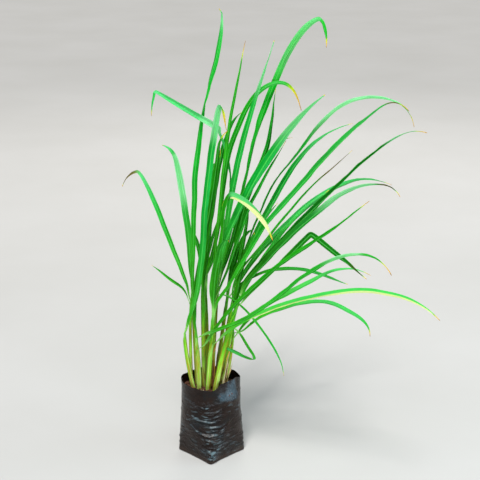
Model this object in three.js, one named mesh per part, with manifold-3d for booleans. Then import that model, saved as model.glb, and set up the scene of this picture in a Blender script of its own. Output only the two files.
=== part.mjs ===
// A young clump of lemongrass growing in a black polythene nursery bag.
// Millimetres, +Z up. The origin is on the floor, under the middle of the bag.

import * as THREE from "three";
import { mergeVertices } from "three/addons/utils/BufferGeometryUtils.js";
import Module from "manifold-3d";

const wasm = await Module();
wasm.setup();

// ---- driving dimensions ------------------------------------------------------------------

const gap = 0.3; // clearance between touching pieces

const bag = {
  girth: 254, // all round the film: twice its 127 mm lay-flat width
  height: 109,
  film: 1.2,
  points: 32, // round each ring
  levels: [2, 7, 16, 30, 48, 66, 82, 95, 103], // heights of the rings between floor and rim
  rimRoundness: 2, // superellipse exponents: 2 is a circle, a high one is a square
  baseRoundness: 20,
  squareFade: 6, // how fast the square base rounds off on its way up
  floorTuck: 0.965, // the flat that stands on the floor, against the base's full size
  floorFillet: 1, // how far the inside is drawn in at the floor
  spread: 0.03, // share by which the filled bag is broader along X than Y half way up
  ear: 1.6, // how far the base corners stick out
  earFade: 14,
  earSharpness: 12,
  crease: 0.9, // depth of the slack film's folds
  rimWave: 1.3, // how far the rim rises and falls
  flap: { bearing: -40, level: 22, spread: 50, lift: 6, lean: 6, reach: 22 },
};
const middleRing = 0.4; // size of the ring that each flat face is fanned from

const soil = {
  level: 98, // where the stems come out of it
  edge: 95, // one of the bag's levels
  lump: 0.8,
  rings: [0.8, 0.58, 0.36, 0.14], // sizes of the rings across its surface
};

const stem = {
  sides: 8,
  steps: 5,
  depth: 32, // how far it goes down into the soil
  swelling: 1.02, // of its foot, and how far from the soil's surface that reaches
  swellingReach: 25,
  bottom: 0.7, // its radius down in the soil, and at its top, against its foot's
  top: 0.8,
};

const blade = {
  thickness: 0.7,
  sunk: 10, // length of its root inside the stem
  straight: 52, // a station at least this often along it
  bend: 20, // and for every so many degrees that it bends
  channel: 24, // degrees that each half rises from the rib
  shape: [0.6, 0.8, 0.98, 0.96, 0.67, 0.1], // widths from root to tip, against its widest
  broadest: 0.4, // share of the length where a blade is broadest
  foldLength: 5, // along the blade, from one side of a sharp fold to the other
};

// Each tiller is a leafy stem. Its foot is where it comes out of the soil. A heading is a compass
// bearing in degrees, 0 along +X and 90 along +Y. The lean, which is measured from the vertical,
// and the roll, by which a blade's face is turned, are given at even steps from root to tip. A
// blade leaves its stem `at` a height along it. One with a taper over 1 stays broad for longer.
// Its folds are where a blade is creased over, each with the turn it makes there.
const tillers = [
  {
    name: "tiller_01",
    foot: [-24, -6], radius: 2.8, heading: 180, length: 84, lean: [13, 8, 4],
    blades: [
      { at: 82, heading: -35, length: 359, width: 8.4, taper: 3.5,
        roll: [-20, -50, -55, -55, -55, -50, -30], folds: [[0.912, 149]],
        lean: [28, 11, 6, 7, 12, 18] },
    ],
  },
  {
    name: "tiller_02",
    foot: [-27, 4], radius: 2.1, heading: 180, length: 126, lean: [1, 0, -3],
    blades: [
      { at: 124, heading: 172, length: 222, width: 6.4, taper: 1.3,
        roll: [-50, -70, -75, -75, -60, -50], folds: [[0.86, 62]],
        lean: [17, 16, 17, 20, 20, 20, 21, 23, 25, 30, 66, 100] },
      { at: 118, heading: 195, length: 82, width: 4, roll: [-50, -70, -75],
        lean: [14, 34, 50, 45, 52] },
    ],
  },
  {
    name: "tiller_03",
    foot: [-19, 6], radius: 2.7, heading: 125, length: 128, lean: [5, 4, 3],
    blades: [
      { at: 126, heading: 150, length: 219, width: 8.6, taper: 2.2, roll: [-35, -45, -50, -55, -50, -35],
        lean: [5, 4, 3, 5, 6, 8, 10, 13, 25, 85] },
      { at: 120, heading: 62, length: 405, width: 7.6, taper: 2.5,
        roll: [15, 25, 30, 33, 50, 95, 160, 198, 205], folds: [[0.972, -50]],
        lean: [-1, 1, 4, 5, 5, 8, 14, 24, 32, 28, 16, -2] },
    ],
  },
  {
    name: "tiller_04",
    foot: [-16, -9], radius: 3.3, heading: 190, length: 78, lean: [0, 3, 7],
    blades: [
      { at: 70, heading: 20, length: 295, width: 6.6, taper: 2.2, roll: [45, 60, 65, 60],
        lean: [0, -1, 1, 5, 10, 12, 11, 11, 10, 9, 8, 10, 55] },
      { at: 76, heading: -40, length: 367, width: 7, taper: 1.3, roll: [75, 55, 50, 20],
        lean: [66, 60, 61, 53, 50, 47, 50, 54, 67, 91, 142] },
      { at: 60, heading: -33, length: 355, width: 7.3, roll: [75, 55, 50, 50],
        lean: [62, 35, 35, 39, 43, 45, 46, 50, 52, 52, 49, 46, 50] },
    ],
  },
  {
    name: "tiller_05",
    foot: [-10, 1], radius: 2.8, heading: 75, length: 132, lean: [0, 1, 4],
    blades: [
      { at: 128, heading: 22, length: 205, width: 5.1, roll: [30, 30, 35, 30],
        lean: [2, 7, 10, 8, 6] },
      { at: 116, heading: 12, length: 150, width: 4.7, roll: [40, 50, 40],
        lean: [3, 3, 11, 15, 18, 12] },
    ],
  },
  {
    name: "tiller_06",
    foot: [-4, -13], radius: 3.3, heading: -25, length: 122, lean: [4, 5, 3],
    blades: [
      { at: 69, heading: -30, length: 358, width: 6.6, taper: 1.9, roll: [75, 55, 50, 45],
        lean: [56, 46, 53, 58, 61, 66, 68, 71, 76, 86, 95, 110, 128] },
      { at: 120, heading: -2, length: 332, width: 12.1, taper: 1.2,
        roll: [-40, -75, -55, -62, -88, -95, -92],
        lean: [-2, 10, 21, 25, 28, 34, 40, 52] },
      { at: 117, heading: -33, length: 254, width: 8.8, taper: 2,
        roll: [50, 75, 75, 70, 60, 50, 45], folds: [[0.662, 66]],
        lean: [9, 10, 8, 7, 5, 20, 48, 70, 92] },
      { at: 108, heading: -28, length: 424, width: 7.4, taper: 2.1, roll: [-15, -40, -50, -40, 10],
        lean: [12, 35, 28, 30, 31, 38, 40, 39, 41, 43, 48, 56, 134] },
      { at: 112, heading: -78, length: 190, width: 6.5, roll: [10, 5],
        lean: [10, 22, 36, 54, 80] },
    ],
  },
  {
    name: "tiller_07",
    foot: [2, -3], radius: 3.1, heading: 0, length: 140, lean: [2, 1, 1],
    blades: [
      { at: 132, heading: 35, length: 343, width: 4.7, taper: 1.2, roll: [35, 50, 45],
        lean: [2, 5, 8, 9, 13, 15] },
      { at: 138, heading: 5, length: 346, width: 8, roll: [-75, -95, -80, -55],
        lean: [19, 8, 8, 11, 13, 17, 18, 16] },
      { at: 128, heading: -8, length: 242, width: 5.6, roll: [-44, -64, -54],
        lean: [28, 24, 16, 19, 17, 26, 26, 30, 28] },
      { at: 134, heading: -12, length: 156, width: 4.2, taper: 1.3, roll: [10, 20, 30],
        lean: [75, 118, 132, 140, 145, 148, 158, 172] },
      { at: 26, heading: -20, length: 42, width: 5.6, roll: [20, 20],
        lean: [3, 9, 14] },
    ],
  },
  {
    name: "tiller_08",
    foot: [6, -16], radius: 3.5, heading: -8, length: 140, lean: [10, 12, 15, 19],
    blades: [
      { at: 138, heading: -6, length: 284, width: 8.8, roll: [-46, -76, -66, -36],
        lean: [12, 34, 40, 39, 42, 43, 47, 48, 52, 65, 78, 104, 150] },
      { at: 128, heading: -14, length: 238, width: 7.6, taper: 2,
        roll: [-25, -45, -50, -80, -90, -80, -50], folds: [[0.615, 85]],
        lean: [44, 43, 41, 41, 42, 42] },
      { at: 98, heading: -30, length: 104, width: 5.2, taper: 3,
        roll: [-10, -10, 10, 90, 105], folds: [[0.535, 143]],
        lean: [116, 142, 140, 138, 137] },
    ],
  },
  {
    name: "tiller_09",
    foot: [13, -6], radius: 3, heading: 6, length: 112, lean: [11, 10, 9],
    blades: [
      { at: 110, heading: 4, length: 281, width: 3.8, roll: [45, 30],
        lean: [-6, 4, 34, 40, 37, 39, 40, 46, 49, 46] },
      { at: 104, heading: -2, length: 372, width: 8, taper: 1.7,
        roll: [-57, -82, -82, -72, -37, -22, -22],
        lean: [9, 18, 36, 40, 42, 41, 45, 46, 42, 48, 51, 66, 106] },
      { at: 98, heading: 14, length: 230, width: 5.6, roll: [40, 60, 50],
        lean: [17, 28, 37, 46, 64] },
      { at: 108, heading: 12, length: 118, width: 6.5, roll: [60, 50],
        lean: [8, 9, 13, 19, 22] },
      { at: 14, heading: 0, length: 52, width: 5.6, roll: [30, 30],
        lean: [12, 15, 19] },
    ],
  },
  {
    name: "tiller_10",
    foot: [20, 2], radius: 2.2, heading: 10, length: 80, lean: [11, 8, 6],
    blades: [
      { at: 78, heading: -22, length: 226, width: 6, taper: 1.8, roll: [25, 45, 40, 60],
        lean: [84, 50, 48, 57, 63, 65, 72, 79, 92, 110, 114, 136, 178] },
      { at: 70, heading: -12, length: 225, width: 7, roll: [30, 50, 40, 10],
        lean: [38, 41, 50, 57, 58, 60, 85, 118] },
    ],
  },
  {
    name: "tiller_11",
    foot: [-10, 12], radius: 2.9, heading: 95, length: 150, lean: [4, 5, 6],
    blades: [
      { at: 146, heading: 20, length: 354, width: 8.2, taper: 1.5,
        roll: [20, 10, 0, -8, -15, -15, -15, -12, 80, 82, 80, 80, 80], folds: [[0.625, -42], [0.91, -104]],
        lean: [38, 27, 20, 13, 6, -3, -12, -19, -17, -15, -15, -18, -32] },
      { at: 140, heading: 8, length: 358, width: 7, taper: 1.8, roll: [50, 75, 70, 60, 75],
        lean: [20, 18, 12, 8, 7, 8, 12, 21, 25, 40, 74, 143, 165] },
    ],
  },
  {
    name: "tiller_12",
    foot: [1, 9], radius: 2.9, heading: 55, length: 148, lean: [5, 6, 7],
    blades: [
      { at: 146, heading: 20, length: 424, width: 8.8, taper: 3.2,
        roll: [30, 10, 0, -5, 0, 45, 65, 65, 50, 75], folds: [[0.905, 80]],
        lean: [20, 17, 15, 15, 18, 16, 13, 14, 16, 19, 22, 25, 31, 37, 58, 80, 102] },
      { at: 140, heading: 36, length: 281, width: 7.4, roll: [40, 55, 55, 10],
        lean: [26, 20, 22, 33, 11, 7] },
    ],
  },
  {
    name: "tiller_13",
    foot: [11, 6], radius: 2.8, heading: 25, length: 136, lean: [9, 10, 12],
    blades: [
      { at: 134, heading: 18, length: 426, width: 6.2, taper: 1.3,
        roll: [10, -8, -20, -15, 20, 45, 45, 20],
        lean: [14, 17, 23, 26, 45, 38, 55, 88, 116, 166] },
      { at: 130, heading: 6, length: 293, width: 7.9, roll: [-75, -90, -80, -50],
        lean: [14, 17, 26, 28, 29, 38, 57, 75] },
      { at: 124, heading: 28, length: 313, width: 8.2, roll: [45, 60, 40, 10],
        lean: [21, 49, 57, 81, 115] },
      { at: 130, heading: 65, length: 125, width: 5.6, roll: [20, 40],
        lean: [22, 24, 26, 10] },
    ],
  },
  {
    name: "tiller_14",
    foot: [8, 18], radius: 2.7, heading: 50, length: 130, lean: [9, 11, 14],
    blades: [
      { at: 118, heading: 10, length: 187, width: 6, taper: 1.8, roll: [20, 30, 40],
        lean: [44, 65, 92, 111, 113] },
      { at: 128, heading: 22, length: 140, width: 5.4, roll: [45, 60, 50],
        lean: [19, 23, 31, 33, 41, 43] },
      { at: 124, heading: 60, length: 290, width: 7.4, roll: [15, 5],
        lean: [16, 22, 32, 48, 74, 100] },
      { at: 112, heading: 70, length: 150, width: 7, roll: [20, 10],
        lean: [20, 34, 48, 66, 84, 104] },
    ],
  },
  {
    name: "tiller_15",
    foot: [-4, 21], radius: 2.7, heading: 100, length: 128, lean: [8, 9, 11],
    blades: [
      { at: 126, heading: 72, length: 300, width: 7.4, roll: [15, 10],
        lean: [10, 14, 24, 40, 62, 90] },
      { at: 120, heading: 86, length: 250, width: 6.5, roll: [-10, 5],
        lean: [14, 22, 34, 52, 80, 112] },
      { at: 104, heading: 104, length: 170, width: 6, roll: [-10, 0],
        lean: [20, 36, 58, 84, 112] },
    ],
  },
];

const colours = {
  film: { color: 0x1b1c20, roughness: 0.32, metalness: 0 },
  soil: { color: 0x5a3826, roughness: 0.95, metalness: 0 },
  leaf: { color: 0x2f8f3a, roughness: 0.5, metalness: 0 },
};

// ---- closed meshes and solids ------------------------------------------------------------

const up = new THREE.Vector3(0, 0, 1);

// Joins rings of points into one closed skin, with a fan over each end. From strip `mirrored` on
// the strips are split along their other diagonal, so that a thin blade's two faces match.
function ringGeometry(rings, mirrored = Infinity) {
  const count = rings[0].length;
  const index = [];
  for (let r = 0; r + 1 < rings.length; r++) {
    for (let k = 0; k < count; k++) {
      const a = r * count + k;
      const b = r * count + ((k + 1) % count);
      const c = a + count;
      const d = b + count;
      if (k < mirrored) index.push(a, b, d, a, d, c);
      else index.push(a, b, c, b, d, c);
    }
  }
  const last = (rings.length - 1) * count;
  for (let k = 2; k < count; k++) {
    const next = (k + 1) % count;
    index.push(1, next, k);
    index.push(last + 1, last + k, last + next);
  }
  const geometry = new THREE.BufferGeometry();
  geometry.setAttribute("position", new THREE.Float32BufferAttribute(
    rings.flat().flatMap((point) => point.toArray()), 3));
  geometry.setIndex(index);
  return geometry;
}

function toSolid(geometry) {
  const merged = mergeVertices(geometry);
  return new wasm.Manifold(new wasm.Mesh({
    numProp: 3,
    vertProperties: new Float32Array(merged.attributes.position.array),
    triVerts: new Uint32Array(merged.index.array),
  }));
}

function toGeometry(solid) {
  const { vertProperties, triVerts } = solid.getMesh();
  const geometry = new THREE.BufferGeometry();
  geometry.setAttribute("position", new THREE.BufferAttribute(vertProperties, 3));
  geometry.setIndex(new THREE.BufferAttribute(triVerts, 1));
  geometry.computeVertexNormals();
  return geometry;
}

function toMesh(name, solid, finish) {
  const mesh = new THREE.Mesh(toGeometry(solid), new THREE.MeshStandardMaterial(finish));
  mesh.name = name;
  return mesh;
}

// ---- growth along a leaning line -----------------------------------------------------------

// A value at a fraction u of the way along, eased through the values given at even steps.
function eased(values, u) {
  const knots = new THREE.SplineCurve(values.map((value, i) => new THREE.Vector2(i, value)));
  return knots.getPoint(THREE.MathUtils.clamp(u, 0, 1)).y;
}

// The lean at a fraction u of the way along, in radians.
function leanAt(u, { lean, folds = [], length }) {
  const half = blade.foldLength / 2 / length;
  const angle = folds.reduce((sum, [where, turn]) =>
    sum + turn * THREE.MathUtils.smoothstep(u, where - half, where + half), eased(lean, u));
  return THREE.MathUtils.degToRad(angle);
}

// Walks from the start through the stations (fractions of the length) and gives the place and the
// directions at each: along the growth, across it on the level, and out of its upper face.
function walk(start, growth, stations) {
  const heading = THREE.MathUtils.degToRad(growth.heading);
  const out = new THREE.Vector3(Math.cos(heading), Math.sin(heading), 0);
  const across = new THREE.Vector3(-out.y, out.x, 0);
  const stride = 2;
  const spot = start.clone();
  let reached = 0;
  return stations.map((u) => {
    const steps = Math.max(1, Math.ceil(((u - reached) * growth.length) / stride));
    const step = (u - reached) / steps;
    for (let i = 0; i < steps; i++) {
      const lean = leanAt(reached + (i + 0.5) * step, growth);
      spot.addScaledVector(out, Math.sin(lean) * step * growth.length);
      spot.addScaledVector(up, Math.cos(lean) * step * growth.length);
    }
    reached = u;
    const lean = leanAt(u, growth);
    const face = out.clone().multiplyScalar(-Math.cos(lean)).addScaledVector(up, Math.sin(lean));
    return { u, point: spot.clone(), across, face };
  });
}

function evenly(count) {
  return Array.from({ length: count + 1 }, (_, i) => i / count);
}

// ---- the bag -------------------------------------------------------------------------------

// Half-breadth of a superellipse of exponent p and half-side 1, its corners on the X and Y axes.
function squircle(angle, p) {
  const turned = angle - Math.PI / 4;
  return (Math.abs(Math.cos(turned)) ** p + Math.abs(Math.sin(turned)) ** p) ** (-1 / p);
}

function around(i) {
  return (i / bag.points) * 2 * Math.PI;
}

// The film doesn't stretch, so every section is scaled to the same girth.
function girthScale(p) {
  let girth = 0;
  for (let i = 0; i < bag.points; i++) {
    const [a, b] = [around(i), around(i + 1)];
    const [ra, rb] = [squircle(a, p), squircle(b, p)];
    girth += Math.hypot(ra * Math.cos(a) - rb * Math.cos(b), ra * Math.sin(a) - rb * Math.sin(b));
  }
  return bag.girth / girth;
}

function creases(angle, height) {
  const slack = Math.sin((height / bag.height) * Math.PI) ** 0.6;
  const smile = Math.sin(height / 6.5 - 2.2 * Math.cos(angle + Math.PI / 2));
  const tuck = Math.sin(3 * angle + height / 17) * 0.6 + Math.sin(7 * angle - height / 23) * 0.4;
  return bag.crease * slack * (0.45 * smile + 0.55 * tuck);
}

// Over part of its girth the film stands up past the rim and leans in over the soil. This is how
// much of that there is at a bearing: all of it as far as the flap is level, none past its spread.
function flapShare(angle) {
  const off = THREE.MathUtils.radToDeg(angle) - bag.flap.bearing;
  const away = Math.abs(THREE.MathUtils.euclideanModulo(off + 180, 360) - 180);
  return 1 - THREE.MathUtils.smoothstep(away, bag.flap.level, bag.flap.spread);
}

function bagRing(height, inset, size = 1) {
  const rise = height / bag.height;
  const p = bag.rimRoundness + (bag.baseRoundness - bag.rimRoundness) * (1 - rise) ** bag.squareFade;
  const scale = girthScale(p);
  return evenly(bag.points).slice(1).map((turn) => {
    const angle = turn * 2 * Math.PI;
    const ear = bag.ear * Math.abs(Math.cos(2 * angle)) ** bag.earSharpness * (1 - rise) ** bag.earFade;
    const wave = Math.sin(2 * angle + 0.6) * 0.6 + Math.sin(5 * angle - 1.1) * 0.4;
    const share = flapShare(angle);
    const leaning = THREE.MathUtils.smoothstep(height, bag.height - bag.flap.reach, bag.height);
    const lean = bag.flap.lean * share * leaning;
    const spread = 1 + bag.spread * Math.cos(2 * angle) * Math.sin(rise * Math.PI);
    const radius = (squircle(angle, p) * scale * spread + creases(angle, height) + ear - lean - inset) * size;
    const free = THREE.MathUtils.smoothstep(height, soil.level, bag.height);
    const lift = (bag.rimWave * wave + bag.flap.lift * share) * free;
    return new THREE.Vector3(radius * Math.cos(angle), radius * Math.sin(angle), height + lift);
  });
}

function ringAt(height, inset, size, level) {
  return bagRing(height, inset, size).map((point) => point.setZ(level));
}

function makeBag() {
  const outside = bag.levels.map((height) => bagRing(height, 0));
  const inside = bag.levels.slice(1).map((height) => bagRing(height, bag.film)).reverse();
  return toSolid(ringGeometry([
    ringAt(0, 0, middleRing, 0),
    ringAt(0, 0, bag.floorTuck, 0),
    ...outside,
    bagRing(bag.height, 0),
    bagRing(bag.height, bag.film),
    ...inside,
    ringAt(0, bag.film + bag.floorFillet, 1, bag.film),
    ringAt(0, bag.film + bag.floorFillet, middleRing, bag.film),
  ]));
}

// ---- the soil ------------------------------------------------------------------------------

function soilHeight(point) {
  const radius = Math.hypot(point.x, point.y) / (bag.girth / 2 / Math.PI);
  const lumps = Math.sin(point.x / 3.1 + 1) * Math.cos(point.y / 3.7) + Math.sin((point.x + point.y) / 5.3);
  return soil.level - (soil.level - soil.edge) * radius ** 4 + soil.lump * lumps;
}

function makeSoil(holes) {
  const inset = bag.film + gap;
  const walls = bag.levels.slice(1).filter((height) => height <= soil.edge);
  const top = soil.rings.map((size) =>
    bagRing(soil.edge, inset, size).map((point) => point.setZ(soilHeight(point))));
  const floor = bag.film + gap;
  const body = toSolid(ringGeometry([
    ringAt(0, inset + bag.floorFillet, middleRing, floor),
    ringAt(0, inset + bag.floorFillet, 1, floor),
    ...walls.map((height) => bagRing(height, inset)),
    ...top,
  ], 0));
  return holes.reduce((rest, hole) => rest.subtract(hole), body);
}

// ---- the tillers ---------------------------------------------------------------------------

function footOf(tiller) {
  return new THREE.Vector3(tiller.foot[0], tiller.foot[1], soil.level);
}

// A point on a stem's middle line; below the soil the line goes straight down.
function stemPoint(tiller, height) {
  if (height <= 0) return footOf(tiller).setZ(soil.level + height);
  return walk(footOf(tiller), tiller, [height / tiller.length])[0].point;
}

function stemRadius(tiller, height) {
  if (height < -stem.depth / 2) return tiller.radius * stem.bottom;
  const swollen = Math.max(0, 1 - Math.abs(height) / stem.swellingReach);
  const foot = THREE.MathUtils.lerp(1, stem.swelling, swollen);
  return tiller.radius * THREE.MathUtils.lerp(foot, stem.top, Math.max(0, height / tiller.length));
}

// A stem, or with a clearance the hole that it stands in.
function makeStem(tiller, clearance = 0) {
  const below = [-stem.depth - clearance, -stem.depth * 0.7, -stem.depth * 0.2];
  const above = clearance ? [0, stem.swellingReach / 2] : evenly(stem.steps).map((u) => u * tiller.length);
  return toSolid(ringGeometry([...below, ...above].map((height) => {
    const radius = stemRadius(tiller, height) + clearance;
    const middle = stemPoint(tiller, height);
    return evenly(stem.sides).slice(1).map((turn) => new THREE.Vector3(
      middle.x + radius * Math.cos(turn * 2 * Math.PI),
      middle.y + radius * Math.sin(turn * 2 * Math.PI),
      middle.z));
  })));
}

// Stations lie closer where the blade bends, and there are four across each sharp fold.
function bladeStations({ length, lean, folds = [] }) {
  const fine = evenly(120);
  const bends = fine.map((u) => THREE.MathUtils.radToDeg(leanAt(u, { lean, length })));
  const spent = [0];
  for (let i = 1; i < fine.length; i++) {
    const stretch = (fine[i] - fine[i - 1]) * length;
    spent.push(spent[i - 1] + stretch / blade.straight + Math.abs(bends[i] - bends[i - 1]) / blade.bend);
  }
  const total = spent[spent.length - 1];
  const stations = evenly(Math.ceil(total) + 1).map((v) => fine[spent.findIndex((s) => s >= v * total)]);
  const near = blade.foldLength / length;
  const clear = stations.filter((u) => folds.every(([where]) => Math.abs(u - where) > 1.2 * near));
  const creases = folds.flatMap(([where]) => [-0.6, -0.2, 0.2, 0.6].map((k) => where + k * near));
  return [...clear, ...creases].sort((a, b) => a - b);
}

// Where along the common shape a blade's width is read: a high taper keeps its upper part broad.
function tapered(u, taper) {
  const { broadest } = blade;
  return u < broadest ? u : broadest + (1 - broadest) * ((u - broadest) / (1 - broadest)) ** taper;
}

// A thin V section: the two edges stand above the rib, and both faces have three points.
function bladeSection({ point, across, face, roll, width, channel }) {
  const side = across.clone().multiplyScalar(Math.cos(roll)).addScaledVector(face, Math.sin(roll));
  const top = face.clone().multiplyScalar(Math.cos(roll)).addScaledVector(across, -Math.sin(roll));
  const half = width / 2;
  const place = (reach, lift) => point.clone()
    .addScaledVector(side, reach * half)
    .addScaledVector(top, Math.abs(reach) * half * Math.tan(channel) + lift);
  const skin = blade.thickness / 2;
  return [
    place(1, skin), place(0, skin), place(-1, skin),
    place(-1, -skin), place(0, -skin), place(1, -skin),
  ];
}

function makeBlade(tiller, growth) {
  const stations = walk(stemPoint(tiller, growth.at), growth, bladeStations(growth));
  const root = { ...stations[0], point: stemPoint(tiller, growth.at - blade.sunk) };
  const nearFold = (u) => (growth.folds ?? []).some(([where]) =>
    Math.abs(u - where) * growth.length < blade.foldLength);
  return toSolid(ringGeometry([root, ...stations].map(({ u, point, across, face }) => bladeSection({
    point,
    across,
    face,
    roll: THREE.MathUtils.degToRad(eased(growth.roll, u)),
    width: growth.width * eased(blade.shape, tapered(u, growth.taper ?? 1)),
    channel: nearFold(u) ? 0 : THREE.MathUtils.degToRad(blade.channel),
  })), 3));
}

function makeTiller(tiller) {
  const blades = tiller.blades.map((growth) => makeBlade(tiller, growth));
  return blades.reduce((whole, leaf) => whole.add(leaf), makeStem(tiller));
}

// ---- the plant in its bag --------------------------------------------------------------------

const plant = new THREE.Group();
plant.name = "lemongrass";
plant.add(toMesh("bag", makeBag(), colours.film));
plant.add(toMesh("soil", makeSoil(tillers.map((tiller) => makeStem(tiller, gap))), colours.soil));
for (const tiller of tillers) plant.add(toMesh(tiller.name, makeTiller(tiller), colours.leaf));

export default plant;
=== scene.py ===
# Lemongrass in a black polythene nursery bag. Metres, +Z up, the bag stands on the floor at the origin.

import math

import bmesh
import bpy
import numpy as np
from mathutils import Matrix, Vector, noise


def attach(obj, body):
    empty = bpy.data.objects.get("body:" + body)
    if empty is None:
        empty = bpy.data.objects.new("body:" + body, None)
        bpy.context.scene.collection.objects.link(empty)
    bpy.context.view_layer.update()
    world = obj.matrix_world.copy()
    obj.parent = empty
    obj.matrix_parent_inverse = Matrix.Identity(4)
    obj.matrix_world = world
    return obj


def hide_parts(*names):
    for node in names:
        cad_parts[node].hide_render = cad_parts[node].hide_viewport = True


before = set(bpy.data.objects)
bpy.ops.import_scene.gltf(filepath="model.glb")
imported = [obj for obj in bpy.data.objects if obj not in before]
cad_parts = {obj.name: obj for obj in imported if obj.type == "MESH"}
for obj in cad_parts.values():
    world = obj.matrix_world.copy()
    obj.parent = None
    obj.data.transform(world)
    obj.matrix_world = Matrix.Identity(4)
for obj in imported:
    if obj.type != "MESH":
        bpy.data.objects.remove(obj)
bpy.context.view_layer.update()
mm = 0.001
fullTurn = 2 * np.pi
upward = np.array([0, 0, 1])
print("frame loaded:", len(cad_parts), "nodes")

# camera and lights

cameraSetup = {"place": (0.040, -1.48, 0.79), "pitchDown": 18, "lens": 88.125, "sensor": 36, "reach": 100}

camera = bpy.data.objects.new("camera", bpy.data.cameras.new("camera"))
camera.location = cameraSetup["place"]
camera.rotation_euler = (math.radians(90 - cameraSetup["pitchDown"]), 0, 0)
camera.data.lens = cameraSetup["lens"]
camera.data.sensor_width = cameraSetup["sensor"]
camera.data.clip_end = cameraSetup["reach"]
bpy.context.scene.collection.objects.link(camera)
bpy.context.scene.camera = camera

lightSetup = {
    "aim": (0.05, 0, 0.25),
    "softboxes": [  # name, place, width and height in metres, watts, colour
        ("front", (0.45, -2.4, 0.60), (3.4, 0.26), 44, (0.76, 0.90, 1.0)),
        ("right", (2.1, -0.45, 0.42), (1.6, 0.60), 30, (0.76, 0.90, 1.0)),
        ("left", (-2.1, -0.9, 0.42), (1.6, 0.36), 14, (0.76, 0.90, 1.0)),
        ("back", (0.2, 1.9, 1.5), (1.2, 1.2), 10, (1.0, 0.98, 0.93)),
    ],
    "key": {"place": (-0.2, -1.3, 2.7), "strength": 3.1, "angle": 14, "colour": (1.0, 0.985, 0.955)},
    "surround": (0.86, 0.93, 1.0, 1),
    "surroundStrength": 0.20,
}


def hangLight(name, kind, place, strength, colour):
    light = bpy.data.lights.new(name, kind)
    light.energy = strength
    light.color = colour
    holder = bpy.data.objects.new(name, light)
    holder.location = place
    holder.rotation_euler = (Vector(lightSetup["aim"]) - Vector(place)).to_track_quat("-Z", "Y").to_euler()
    bpy.context.scene.collection.objects.link(holder)
    return light


sun = lightSetup["key"]
key = hangLight("key", "SUN", sun["place"], sun["strength"], sun["colour"])
key.angle = math.radians(sun["angle"])
for name, place, size, watts, colour in lightSetup["softboxes"]:
    softbox = hangLight(name, "AREA", place, watts, colour)
    softbox.shape = "RECTANGLE"
    softbox.size, softbox.size_y = size
world = bpy.data.worlds.new("studio")
world.use_nodes = True
surround = world.node_tree.nodes["Background"]
surround.inputs["Color"].default_value = lightSetup["surround"]
surround.inputs["Strength"].default_value = lightSetup["surroundStrength"]
bpy.context.scene.world = world
bpy.context.scene.view_settings.view_transform = "Standard"
print("camera and lights made")

# small helpers for materials

inHand = {}  # the material whose nodes are being made


def startMaterial(name):
    material = inHand["material"] = bpy.data.materials.new(name)
    material.use_nodes = True
    material.node_tree.nodes.clear()


def finishMaterial(shader):
    addNode("ShaderNodeOutputMaterial", {"Surface": shader})
    return inHand.pop("material")


def setSocket(socket, value):
    if isinstance(value, bpy.types.NodeSocket):
        socket.id_data.links.new(value, socket)
    else:
        socket.default_value = value


def addNode(kind, inputs, **settings):
    node = inHand["material"].node_tree.nodes.new(kind)
    for key, value in settings.items():
        setattr(node, key, value)
    for key, value in inputs.items():
        setSocket(node.inputs[key], value)
    return node


def calc(operation, a, b=0.0):
    return addNode("ShaderNodeMath", {0: a, 1: b}, operation=operation).outputs[0]


def times(a, b):
    return calc("MULTIPLY", a, b)


def plus(a, b):
    return calc("ADD", a, b)


def unsettle(value, grain, amount):
    # moves a value up and down with a noise
    return plus(value, times(calc("SUBTRACT", grain, 0.5), amount))


def soften(value, low, high, start=0.0, end=1.0):
    return addNode(
        "ShaderNodeMapRange",
        {"Value": value, "From Min": low, "From Max": high, "To Min": start, "To Max": end},
        interpolation_type="SMOOTHSTEP").outputs["Result"]


def blendColours(factor, a, b):
    mixed = addNode("ShaderNodeMix", {}, data_type="RGBA")
    setSocket(mixed.inputs[0], factor)
    for socket, value in ((mixed.inputs[6], a), (mixed.inputs[7], b)):
        setSocket(socket, (*value, 1) if isinstance(value, tuple) else value)
    return mixed.outputs[2]


def colourRamp(factor, stops):
    ramp = addNode("ShaderNodeValToRGB", {"Fac": factor})
    elements = ramp.color_ramp.elements
    while len(elements) < len(stops):
        elements.new(0.5)
    for element, (position, colour) in zip(elements, stops):
        element.position = position
        element.color = (*colour, 1)
    return ramp.outputs["Color"]


def speckle(vector, scale, detail=3.0, roughness=0.55, distortion=0.0):
    return addNode("ShaderNodeTexNoise", {
        "Vector": vector, "Scale": scale, "Detail": detail, "Roughness": roughness,
        "Distortion": distortion}).outputs["Fac"]


def stretched(*pairs):
    # coordinates made of three values, each times its own factor
    return addNode("ShaderNodeCombineXYZ", {
        axis: times(value, factor) for axis, (value, factor) in enumerate(pairs)}).outputs[0]


def readAttributes(*names):
    return [addNode("ShaderNodeAttribute", {}, attribute_name=name).outputs["Fac"] for name in names]


def position():
    return addNode("ShaderNodeNewGeometry", {}).outputs["Position"]


def bumpFrom(layers):
    # one bump over another, each a height, a strength and a depth in metres
    under = {}
    for height, strength, depth in layers:
        bumped = addNode("ShaderNodeBump", {
            "Height": height, "Strength": strength, "Distance": depth, **under}).outputs["Normal"]
        under = {"Normal": bumped}
    return bumped


def addSkin(colour, roughness, normal, specular, **more):
    inputs = {"Base Color": colour, "Roughness": roughness, "Normal": normal, "Specular IOR Level": specular}
    return addNode("ShaderNodeBsdfPrincipled", {**inputs, **more}).outputs[0]


def letThrough(skin, colour, normal, share):
    # the share of light that a thin leaf lets through
    glow = addNode("ShaderNodeBsdfTranslucent", {"Color": colour, "Normal": normal}).outputs[0]
    return addNode("ShaderNodeMixShader", {0: share, 1: skin, 2: glow}).outputs[0]


# small helpers for meshes


def smoothstep(x, low, high):
    t = np.clip((x - low) / (high - low), 0, 1)
    return t * t * (3 - 2 * t)


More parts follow.
